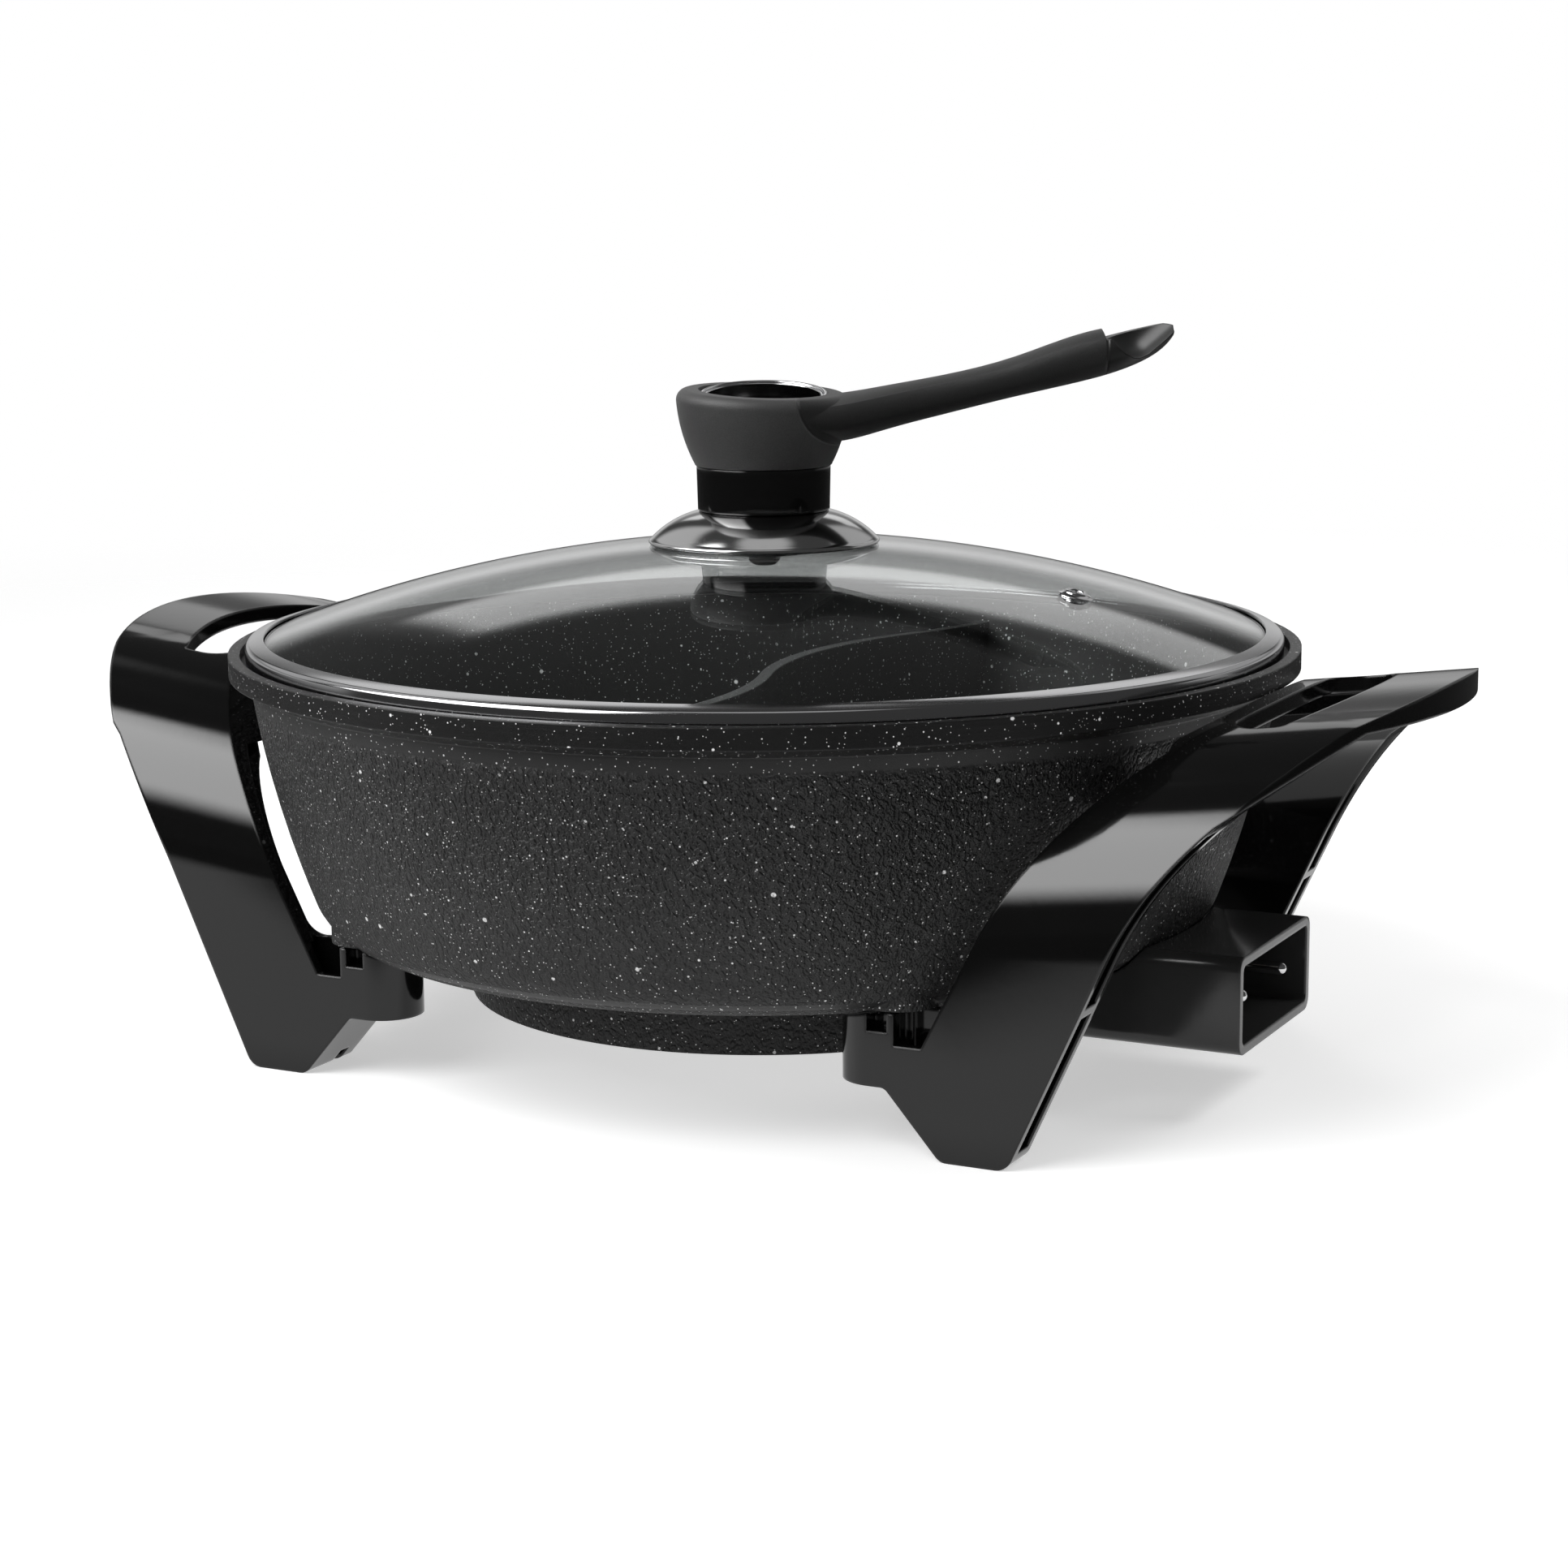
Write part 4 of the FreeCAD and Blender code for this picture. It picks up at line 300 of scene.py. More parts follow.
@dataclass(frozen=True)
class GraniteCoating(Finish):
    """Stone-look coating: dark grey with pale specks of several sizes, and a creased cast skin outside, with
    painted shade in the creases and painted light on the lower side and the cove.
    """

    tone: float = 0.021
    rim_tone: float = 0.011
    inner_tone: float = 0.011
    speck_tone: float = 0.86
    layers: tuple[SpeckLayer, ...] = (
        SpeckLayer(0.0066, 0.105, 4.0, 1.0), SpeckLayer(0.0036, 0.110, 3.2, 1.0),
        SpeckLayer(0.0021, 0.125, 1.5, 0.95), SpeckLayer(0.0013, 0.160, 0.9, 0.75))
    rough: float = 0.52
    rim_rough: float = 0.36
    inner_rough: float = 0.30
    rough_spread: float = 0.12
    rough_scale: float = 700.0
    band: Point = (0.1195, 0.1215)
    crease_end: Point = (0.1138, 0.1168)
    crease_fade: Point = (0.030, 0.105)
    fewest_creases: float = 0.35
    drum_radius: float = 0.118
    # Painted light: how much paler the lower side and the cove under the rim band are painted.
    pale: float = 0.42
    painted_light_side: Point = (0.034, 0.085)
    painted_light_cove: Point = (0.1078, 0.1138)
    dull_side: Point = (0.052, 0.070)
    dull: float = 0.14
    floor_height: float = 0.0435
    middle_radius: float = 0.1437
    middle_height: float = 0.053
    middle_slope: float = 0.256
    middle_soft: float = 0.0006
    cloud_scale: float = 28.0
    pore_scale: float = 4200.0
    pore_share: float = 0.05
    streak_scale: float = 900.0
    streak_share: float = 0.06
    fold_scale: float = 350.0
    fold_width: float = 0.12
    fold_squeeze: float = 0.8
    finer_scale: float = 2.3
    finer_width: float = 1.4
    coarse_share: float = 0.65
    painted_crease_shade: float = 0.6
    relief: float = 0.0013
    edge: float = 0.0008
    ragged: float = 0.16
    ragged_scale: float = 2400.0
    ragged_share: float = 0.4
    speck_edge: float = 0.04
    bare_cells: float = 0.22

    def specks(self, graph: Graph, spot: Socket) -> Value:
        """Speck mask from several sizes of speck.

        Args:
            graph: The material's graph.
            spot: Position on the piece.

        Returns:
            1 on a bright speck, otherwise 0.
        """
        ragged = (graph.noise(spot, self.ragged_scale, 1.0) - 0.5) * self.ragged
        mask = graph.math("ADD", 0.0, 0.0)
        for layer in self.layers:
            distance, chance = graph.cells(spot, 1.0 / layer.cell)
            radius = chance**layer.rarity * layer.largest
            speck = graph.ease(distance + ragged * self.ragged_share, radius, radius + self.speck_edge,
                               layer.strength, 0.0)
            mask = graph.math("MAXIMUM", mask, speck * (chance > self.bare_cells))
        return mask

    def folds(self, graph: Graph, spot: Socket) -> Value:
        """Fine creases that run into each other, as on leather.

        Args:
            graph: The material's graph.
            spot: Position on the piece.

        Returns:
            0 at the bottom of a crease and 1 between creases.
        """
        upright = graph.stretched(spot, (1.0, 1.0, self.fold_squeeze))
        swirl = graph.noise(upright, self.fold_scale, 1.5)
        finer = graph.noise(upright, self.fold_scale * self.finer_scale, 1.0)
        first = graph.ease(graph.math("ABSOLUTE", swirl - 0.5), 0.0, self.fold_width)
        second = graph.ease(graph.math("ABSOLUTE", finer - 0.5), 0.0, self.fold_width * self.finer_width)
        return first * self.coarse_share + second * (1.0 - self.coarse_share)

    def shader(self, graph: Graph) -> Socket:
        """Coating with a plain rim band, a creased side and a smoother inside, with painted shade and painted
        light in its colour.

        Args:
            graph: The material's graph.

        Returns:
            The shader's socket.
        """
        spot = graph.place()
        x, y, z = graph.split(spot)
        radius = graph.round_away(x, y)
        middle = (z - self.middle_height) * self.middle_slope + self.middle_radius
        inside = graph.ease(middle - radius, 0.0, self.middle_soft) * (z > self.floor_height)
        band = graph.ease(z, *self.band)
        creased = graph.ease(z, *self.crease_end, 1.0, 0.0)
        creased = creased * graph.ease(z, *self.crease_fade, self.fewest_creases, 1.0)
        creased = creased * (1.0 - inside)
        folds = self.folds(graph, spot)
        depth = (1.0 - folds) * creased
        # Painted light: the lower side is painted paler as if lit from the floor, and the cove under the rim
        # band as if lit from above.
        low = graph.ease(z, *self.painted_light_side, self.pale, 0.0) * (radius > self.drum_radius)
        cove_painted_light = graph.ease(z, *self.painted_light_cove, 0.0, self.pale)
        lift = (low + cove_painted_light) * (1.0 - inside) * (1.0 - band) + 1.0
        cloud = graph.noise(spot, self.cloud_scale, 3.0) * 0.5 + 0.75
        # Painted shade: the creases are darkened in the colour, beside their bump; lift also paints the lower
        # side and the cove paler.
        level = cloud * (1.0 - depth * self.painted_crease_shade) * lift
        outside = graph.blend(band, grey(self.tone), grey(self.rim_tone))
        base = graph.blend(inside, outside, grey(self.inner_tone))
        # Random mottling together with the painted shade and painted light above.
        mottled_with_painted_light = graph.add("ShaderNodeMix", {"data_type": "RGBA", "blend_type": "MULTIPLY"},
                            {0: 1.0, 6: base, 7: graph.join(level, level, level)}).outputs[2]
        colour = graph.blend(self.specks(graph, spot), mottled_with_painted_light, grey(self.speck_tone))
        pores = graph.noise(spot, self.pore_scale, 1.0) * self.pore_share
        streaks = graph.noise(graph.join(radius, z, 0.0), self.streak_scale, 2.0) * band * self.streak_share
        relief = graph.bump(folds * creased + pores + streaks, self.relief,
                            under=graph.round_edges(self.edge))
        rough = graph.around(self.rough, graph.noise(spot, self.rough_scale, 2.0), self.rough_spread)
        rough = rough + band * (self.rim_rough - self.rough) * (1.0 - inside)
        rough = rough + graph.ease(z, *self.dull_side, self.dull, 0.0)
        rough = rough + inside * (self.inner_rough - self.rough)
        return graph.principled(colour, rough, {"Normal": relief, "IOR": 1.46})


@dataclass(frozen=True)
class GlossMoulding(Finish):
    """Glossy black moulded plastic with a faint orange peel."""

    tone: float = 0.0030
    rough: float = 0.085
    haze: float = 0.05
    haze_scale: float = 42.0
    dust: float = 0.10
    dust_scale: float = 2600.0
    dust_range: Point = (0.70, 0.86)
    tone_range: Point = (0.8, 1.25)
    peel: float = 0.000010
    peel_scale: float = 210.0
    edge: float = 0.0012

    def shader(self, graph: Graph) -> Socket:
        """Nearly black gloss whose sheen varies a little.

        Args:
            graph: The material's graph.

        Returns:
            The shader's socket.
        """
        spot = graph.place()
        haze = graph.noise(spot, self.haze_scale, 3.0)
        dust = graph.ease(graph.noise(spot, self.dust_scale, 1.0), *self.dust_range, 0.0, self.dust)
        rough = graph.around(self.rough, haze, self.haze) + dust
        colour = graph.blend(haze, *(grey(self.tone * share) for share in self.tone_range))
        skin = graph.noise(spot, self.peel_scale, 2.0)
        peel = graph.bump(skin, self.peel, under=graph.round_edges(self.edge))
        return graph.principled(colour, rough, {"Normal": peel, "IOR": 1.50})


@dataclass(frozen=True)
class SoftTouch(Finish):
    """Matte soft-touch sleeve: a cup painted paler as painted light on it, a darker arm that wraps it, and a
    smooth bare tip. Metres.
    """

    bearing: float = 26.87
    foot: float = 0.1860
    cup_tone_with_painted_light: float = 0.042
    arm_tone: float = 0.016
    tip_tone: float = 0.013
    rough: float = 0.52
    tip_rough: float = 0.36
    cloud: float = 0.10
    cloud_scale: float = 60.0
    grain: float = 0.00008
    grain_scale: float = 2700.0
    grain_tones: Point = (0.6, 1.5)
    root: tuple[float, float, float] = (0.0260, 0.0220, 0.0152)
    tip_start: float = 0.1080
    line_soft: float = 0.0002
    seam: float = 0.0007
    seam_depth: float = 0.0003
    edge: float = 0.0006

    def shader(self, graph: Graph) -> Socket:
        """Grainy sleeve with a fine seam where the arm starts and where the tip is bare.

        Args:
            graph: The material's graph.

        Returns:
            The shader's socket.
        """
        spot = graph.place()
        x, y, z = graph.split(spot)
        turn = math.radians(self.bearing)
        along = x * math.cos(turn) + y * math.sin(turn)
        away = graph.math("SQRT", (along - self.root[0]) ** 2.0 + (z - self.foot - self.root[1]) ** 2.0)
        wrapped = graph.ease(away, self.root[2] - self.line_soft, self.root[2] + self.line_soft, 1.0, 0.0)
        arm = graph.math("MAXIMUM", wrapped, along > self.root[0])
        tip = graph.ease(along, self.tip_start - self.line_soft, self.tip_start + self.line_soft)
        near_root = graph.math("ABSOLUTE", away - self.root[2]) + (along > self.root[0])
        near_tip = graph.math("ABSOLUTE", along - self.tip_start)
        seam = graph.ease(graph.math("MINIMUM", near_root, near_tip), 0.0, self.seam)
        cloud = graph.noise(spot, self.cloud_scale, 2.0)
        grain = graph.noise(spot, self.grain_scale, 2.0)
        # The cup's paler tone is painted light on the cup; the arm keeps the sleeve's own darker tone.
        shades = [graph.blend(tip, graph.blend(arm, grey(self.cup_tone_with_painted_light * level), grey(self.arm_tone * level)),
                              grey(self.tip_tone)) for level in self.grain_tones]
        rough = graph.around(self.rough, cloud, self.cloud) * (1.0 - tip) + tip * self.tip_rough
        step = graph.bump(seam, self.seam_depth, under=graph.round_edges(self.edge))
        relief = graph.bump(grain * (1.0 - tip), self.grain, under=step)
        return graph.principled(graph.blend(grain, shades[0], shades[1]), rough, {
            "Normal": relief, "IOR": 1.45, "Sheen Weight": 0.12, "Sheen Roughness": 0.45})


@dataclass(frozen=True)
class ClearGlass(Finish):
    """Clear tempered glass that lets lamplight through to what it covers."""

    tint: tuple[float, float, float, float] = (0.93, 0.95, 0.945, 1.0)
    shade_tint: tuple[float, float, float, float] = (0.80, 0.82, 0.815, 1.0)
    smear_scale: float = 16.0
    smear_stretch: float = 0.35
    smear_range: Point = (0.45, 0.8)
    smear_rough: float = 0.035

    def shader(self, graph: Graph) -> Socket:
        """Glass with faint smears, open to rays from lamps.

        Args:
            graph: The material's graph.

        Returns:
            The shader's socket.
        """
        long_way = graph.stretched(graph.place(), (1.0, self.smear_stretch, 1.0))
        smear = graph.noise(long_way, self.smear_scale, 3.0)
        rough = graph.ease(smear, *self.smear_range, 0.0, self.smear_rough)
        glass = graph.principled(self.tint, rough, {"IOR": 1.47, "Transmission Weight": 1.0})
        clear = graph.add("ShaderNodeBsdfTransparent", sockets={0: self.shade_tint}).outputs[0]
        return graph.mix(graph.add("ShaderNodeLightPath").outputs["Is Shadow Ray"], glass, clear)


class Grain(Enum):
    """The direction that a metal surface is worked in."""

    NONE = "none"
    SPUN = "spun round the axis"
    DRAWN = "drawn along X"


@dataclass(frozen=True)
class Metal(Finish):
    """Bare or plated metal, from mirror bright to matte."""

    tone: tuple[float, float, float] = (0.62, 0.62, 0.61)
    dark_share: float = 0.86
    rough: float = 0.12
    spread: float = 0.06
    haze_scale: float = 90.0
    grain: Grain = Grain.NONE
    spun_scale: float = 2600.0
    drawn_scale: float = 3200.0
    drawn_stretch: float = 0.02
    plain_scale: float = 900.0
    relief: float = 0.000004

    def lines(self, graph: Graph, spot: Socket) -> Value:
        """Fine lines along the metal's grain.

        Args:
            graph: The material's graph.
            spot: Position on the piece.

        Returns:
            The lines from 0 to 1.
        """
        if self.grain is Grain.SPUN:
            x, y, z = graph.split(spot)
            return graph.noise(graph.join(graph.round_away(x, y), z, 0.0), self.spun_scale)
        if self.grain is Grain.DRAWN:
            return graph.noise(graph.stretched(spot, (self.drawn_stretch, 1.0, 1.0)), self.drawn_scale)
        return graph.noise(spot, self.plain_scale)

    def shader(self, graph: Graph) -> Socket:
        """Metal with fine lines and a little haze.

        Args:
            graph: The material's graph.

        Returns:
            The shader's socket.
        """
        spot = graph.place()
        haze = graph.noise(spot, self.haze_scale, 3.0)
        lines = self.lines(graph, spot)
        rough = haze * self.spread + lines * self.spread + self.rough - self.spread
        colour = graph.blend(lines, shade(self.tone, self.dark_share), shade(self.tone))
        return graph.principled(colour, rough, {"Metallic": 1.0, "Normal": graph.bump(lines, self.relief)})


@dataclass(frozen=True)
class SpangledSheet(Finish):
    """Aluminised steel sheet with a faint crystal pattern."""

    tone: float = 0.52
    rough: float = 0.28
    spread: float = 0.16
    crystal_scale: float = 190.0
    scratch_scale: float = 1700.0
    scratch_stretch: float = 0.04
    relief: float = 0.000006

    def shader(self, graph: Graph) -> Socket:
        """Satin sheet with pale and dark crystals.

        Args:
            graph: The material's graph.

        Returns:
            The shader's socket.
        """
        spot = graph.place()
        _, crystal = graph.cells(spot, self.crystal_scale)
        scratches = graph.noise(graph.stretched(spot, (self.scratch_stretch, 1.0, 1.0)), self.scratch_scale)
        level = crystal * 0.5 + scratches * 0.5
        colour = graph.blend(level, grey(self.tone * 0.8), grey(self.tone * 1.1))
        return graph.principled(colour, level * self.spread + self.rough, {
            "Metallic": 1.0, "Normal": graph.bump(scratches, self.relief)})


@dataclass(frozen=True)
class Ceramic(Finish):
    """Unglazed white ceramic."""

    tone: tuple[float, float, float] = (0.74, 0.71, 0.64)
    dark_share: float = 0.82
    rough: float = 0.62
    spread: float = 0.15
    pore_scale: float = 2400.0
    relief: float = 0.00003

    def shader(self, graph: Graph) -> Socket:
        """Chalky surface with fine pores.

        Args:
            graph: The material's graph.

        Returns:
            The shader's socket.
        """
        spot = graph.place()
        pores = graph.noise(spot, self.pore_scale, 3.0)
        colour = graph.blend(pores, shade(self.tone, self.dark_share), shade(self.tone))
        rough = pores * self.spread + self.rough
        return graph.principled(colour, rough, {"Normal": graph.bump(pores, self.relief)})


@dataclass(frozen=True)
class Silicone(Finish):
    """Black silicone rubber with a dusty bloom."""

    tone: float = 0.02
    bloom_tone: float = 0.038
    rough: float = 0.5
    spread: float = 0.2
    bloom_scale: float = 300.0
    relief: float = 0.00002

    def shader(self, graph: Graph) -> Socket:
        """Soft dark rubber.

        Args:
            graph: The material's graph.

        Returns:
            The shader's socket.
        """
        spot = graph.place()
        bloom = graph.noise(spot, self.bloom_scale, 3.0)
        colour = graph.blend(bloom, grey(self.tone), grey(self.bloom_tone))
        rough = bloom * self.spread + self.rough
        return graph.principled(colour, rough, {"Normal": graph.bump(bloom, self.relief)})


@dataclass(frozen=True)
class StudioFloor(Finish):
    """Pale floor that stays near white but keeps the object's shadow."""

    tone: float = 0.80
    glow: float = 0.49
    bounce: float = 0.12
    near: float = 0.75
    far: float = 1.6
    # Edges of the painted pool of light on the floor that gloss surfaces see.
    lit_front: float = -0.262
    lit_slant: float = 0.16
    front_soft: float = 0.055
    lit_back: float = 0.27
    lit_half: float = 0.42
    lit_soft: float = 0.04
    # Half sizes, soft edge and strength of the painted shadow under the object, inside the painted pool.
    under: tuple[float, float] = (0.20, 0.115)
    painted_shadow_soft: float = 0.03
    painted_shadow_share: float = 0.30
    # Level of the painted pool of light, and of the floor outside it, for gloss rays.
    mirrored: float = 0.95
    unlit: float = 0.04

    def shader(self, graph: Graph) -> Socket:
        """Matte floor, clear from below, that fades into white, with a painted pool of light that only gloss
        sees and a painted shadow in it under the object.

        Args:
            graph: The material's graph.

        Returns:
            The shader's socket.
        """
        x, y, _ = graph.split(graph.place())
        floor = graph.add("ShaderNodeBsdfDiffuse", sockets={0: grey(self.tone)})
        path = graph.add("ShaderNodeLightPath")
        seen = graph.math("MAXIMUM", path.outputs["Is Camera Ray"], path.outputs["Is Transmission Ray"])
        bounced = graph.math("MULTIPLY", path.outputs["Is Diffuse Ray"], self.bounce)
        glow = seen * self.glow + bounced
        light = graph.add("ShaderNodeEmission", sockets={0: grey(1.0), 1: glow})
        plain = graph.add("ShaderNodeAddShader", sockets={
            0: floor.outputs[0], 1: light.outputs[0]}).outputs[0]
        clear = graph.add("ShaderNodeBsdfTransparent").outputs[0]
        below = graph.add("ShaderNodeNewGeometry").outputs["Backfacing"]
        open_part = graph.math("MAXIMUM", graph.ease(graph.round_away(x, y), self.near, self.far), below)
        # Painted pool of light in front of the object, given as emission for gloss rays only.
        ahead = y - x * self.lit_slant
        painted_light_pool = graph.ease(ahead, self.lit_front - self.front_soft, self.lit_front + self.front_soft)
        painted_light_pool = painted_light_pool * graph.within(y, self.lit_back, self.lit_soft)
        aside = graph.math("ABSOLUTE", x)
        painted_light_pool = painted_light_pool * graph.within(aside, self.lit_half, self.lit_soft)
        # Painted shadow: the painted pool is darkened under the object's footprint.
        painted_shadow_strength: Operand = self.painted_shadow_share
        for distance, edge in ((aside, self.under[0]), (graph.math("ABSOLUTE", y), self.under[1])):
            painted_shadow_strength = graph.within(distance, edge, self.painted_shadow_soft) * painted_shadow_strength
        painted_light_pool = painted_light_pool * (1.0 - painted_shadow_strength)
        painted_pool_shine = graph.add("ShaderNodeEmission", sockets={
            0: grey(1.0), 1: painted_light_pool * (self.mirrored - self.unlit) + self.unlit}).outputs[0]
        return graph.mix(path.outputs["Is Glossy Ray"], graph.mix(open_part, plain, clear), painted_pool_shine)


COATING = GraniteCoating("granite_coating")
MOULDING = GlossMoulding("moulding_gloss_black")
# The housing's black is paler than the mouldings': painted light for the light on its front.
HOUSING = GlossMoulding("housing_gloss_black", tone=0.030, rough=0.13, peel=0.00002)
COLLAR = GlossMoulding("collar_gloss_black", tone=0.0035, rough=0.05, peel=0.000006)
WELL = GlossMoulding("well_gloss_black", tone=0.0035, rough=0.06, peel=0.000006)
SOFT = SoftTouch("soft_touch_black")
GLASS = ClearGlass("clear_glass")
BAND = Metal("band_steel", tone=(0.13, 0.13, 0.13), rough=0.11, spread=0.04, grain=Grain.SPUN)
SKIRT = Metal("skirt_steel", tone=(0.66, 0.66, 0.655), rough=0.09, spread=0.03, grain=Grain.SPUN,
              relief=0.000002)
CHROME = Metal("trim_chrome", tone=(0.74, 0.74, 0.745), rough=0.06, spread=0.02)
ZINC = Metal("screw_zinc", tone=(0.50, 0.50, 0.49), rough=0.30, spread=0.12)
TUBE = Metal("guide_tube_steel", tone=(0.55, 0.55, 0.54), rough=0.28, spread=0.10, grain=Grain.DRAWN)
SPRING = Metal("earth_spring_steel", tone=(0.58, 0.56, 0.52), rough=0.26, spread=0.10, grain=Grain.DRAWN)
SHEATH = Metal("element_sheath", tone=(0.50, 0.50, 0.50), rough=0.42, spread=0.14, relief=0.00002)
SHIELD = SpangledSheet("heat_shield_sheet")
CERAMIC = Ceramic("bush_ceramic")
RUBBER = Silicone("gasket_silicone")
FLOOR = StudioFloor("studio_floor")


# Meshes


def body_of(node: str) -> str:
    """The body that a CAD node belongs to."""
    return next(body for body, nodes in frame["record"]["behaviour"]["bodies"].items() if node in nodes)


def reach(node: str) -> list[list[float]]:
    """Lowest and highest corner of a CAD node at rest, in millimetres."""
    return [[value / MM for value in corner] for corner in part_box(node)]


def mesh_object(name: str, shape: bmesh.types.BMesh) -> bpy.types.Object:
    """Turn a finished BMesh into an object at the origin.

    Args:
        name: The object's name and its mesh's.
        shape: The mesh, which is freed.

    Returns:
        The object, linked to the scene.
    """
    mesh = bpy.data.meshes.new(name)
    shape.to_mesh(mesh)
    shape.free()
    thing = bpy.data.objects.new(name, mesh)
    bpy.context.scene.collection.objects.link(thing)
    return thing


def soften(shape: bmesh.types.BMesh, sharp_angle: float) -> None:
    """Shade all faces smooth and keep the edges sharp whose angle is larger.

    Args:
        shape: The mesh to shade.
        sharp_angle: The angle in degrees from which an edge stays sharp.
    """
    limit = math.radians(sharp_angle)
    for face in shape.faces:
        face.smooth = True
    for edge in shape.edges:
        edge.smooth = len(edge.link_faces) == 2 and edge.calc_face_angle(math.pi) < limit


def merged_copy(node: str, name: str, sharp_angle: float = 28.0) -> bpy.types.Object:
    """A copy of a CAD node's mesh with its doubles merged and its bent faces smooth.

    Args:
        node: The CAD node.
        name: The new piece's name.
        sharp_angle: The angle in degrees from which an edge stays sharp.

    Returns:
        The new piece.
    """
    source = frame["nodes"][node]
    shape = bmesh.new()
    shape.from_mesh(source.data)
    shape.transform(source.matrix_world)
    bmesh.ops.remove_doubles(shape, verts=shape.verts, dist=MERGE_DISTANCE)
    bmesh.ops.dissolve_degenerate(shape, edges=shape.edges, dist=MERGE_DISTANCE / 2)
    soften(shape, sharp_angle)
    return mesh_object(name, shape)


def outline(corners: Sequence[Corner], step: float = 5.0) -> list[Point]:
    """Points of a closed outline with arcs.

    Args:
        corners: (x, y), or (x, y, radius, side) where an arc arrives; side 1 bulges left of the way.
        step: The angle in degrees between points of an arc.

    Returns:
        The points in order.
    """
    points: list[Point] = []
    for number, corner in enumerate(corners):
        start = Vector(corners[number - 1][:2])
        stop = Vector(corner[:2])
        if len(corner) == 4:
            points.extend(arc_points(start, stop, corner[2], corner[3], step))
        points.append((stop.x, stop.y))
    return points


def arc_centre(start: Vector, stop: Vector, radius: float, side: float) -> Vector:
    """Centre of an arc between two points.

    Args:
        start: Where the arc starts.
        stop: Where it stops.
        radius: Its radius.
        side: 1 if it bulges to the left of the way, and -1 to the right.

    Returns:
        The centre.
    """
    chord = stop - start
    half = min(chord.length / 2, radius)
    left = Vector((-chord.y, chord.x)).normalized()
    return (start + stop) / 2 - left * side * math.sqrt(radius * radius - half * half)


def arc_points(start: Vector, stop: Vector, radius: float, side: float, step: float) -> list[Point]:
    """Inner points of an arc between two points.

    Args:
        start: Where the arc starts.
        stop: Where it stops.
        radius: Its radius.
        side: 1 if it bulges to the left of the way, and -1 to the right.
        step: The angle in degrees between points.

    Returns:
        The points between the two ends.
    """
    centre = arc_centre(start, stop, radius, side)
    whole = 2 * math.asin(min(1.0, (stop - start).length / 2 / radius))
    count = max(2, math.ceil(math.degrees(whole) / step))
    first = start - centre
    points = []
    for index in range(1, count):
        turn = -side * whole * index / count
        points.append(tuple(centre + Matrix.Rotation(turn, 2) @ first))
    return points


def turned(name: str, corners: Sequence[Corner], segments: int = 160, sharp_angle: float = 32.0,
           step: float = 5.0) -> bpy.types.Object:
    """A solid of revolution about Z.

    Args:
        name: The new piece's name.
        corners: Closed outline in radius and height, in millimetres.
        segments: The number of steps round the axis.
        sharp_angle: The angle in degrees from which an edge stays sharp.
        step: The angle in degrees between points of an arc.

    Returns:
        The new piece.
    """
    shape = bmesh.new()
    rings = []
    for radius, height in outline(corners, step):
        if radius < ON_AXIS:
            rings.append([shape.verts.new((0, 0, height * MM))])
            continue
        angles = (2 * math.pi * index / segments for index in range(segments))
        rings.append([shape.verts.new((radius * MM * math.cos(a), radius * MM * math.sin(a), height * MM))
                      for a in angles])
    for low, high in zip(rings, rings[1:] + rings[:1]):
        for index in range(segments):
            after = (index + 1) % segments
            if len(low) > 1 and len(high) > 1:
                shape.faces.new((low[index], low[after], high[after], high[index]))
            elif len(low) > 1:
                shape.faces.new((low[index], low[after], high[0]))
            elif len(high) > 1:
                shape.faces.new((low[0], high[after], high[index]))
    bmesh.ops.recalc_face_normals(shape, faces=shape.faces)
    soften(shape, sharp_angle)
    return mesh_object(name, shape)


def dressed(piece: bpy.types.Object, finish: Finish, *nodes: str) -> bpy.types.Object:
    """Give a piece its finish and let it stand for its CAD nodes.

    Args:
        piece: The piece.
        finish: Its finish.
        nodes: The CAD nodes that it replaces; it rides on the first one's body.

    Returns:
        The same piece.
    """
    if not piece.data.materials:
        piece.data.materials.append(finish.material())
    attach(piece, body_of(nodes[0]))
    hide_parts(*nodes)
    log.info("%s: %d faces, stands for %s", piece.name, len(piece.data.polygons), ", ".join(nodes))
    return piece


# Pan, mouldings, connector and heater


@dataclass
class RefinedPieces:
    """Pieces that keep their CAD shape: each one's node, new name and finish."""

    pieces: Sequence[tuple[str, str, Finish]] = ()
    sharp_angle: float = 28.0

    def build(self) -> None:
        """Make every piece."""
        for node, name, finish in self.pieces:
            dressed(merged_copy(node, name, self.sharp_angle), finish, node)


@dataclass
class Pan(RefinedPieces):
    """The cast pan with its coating."""

    pieces: Sequence[tuple[str, str, Finish]] = (("pan_casting", "coated_pan", COATING),)
    sharp_angle: float = 30.0


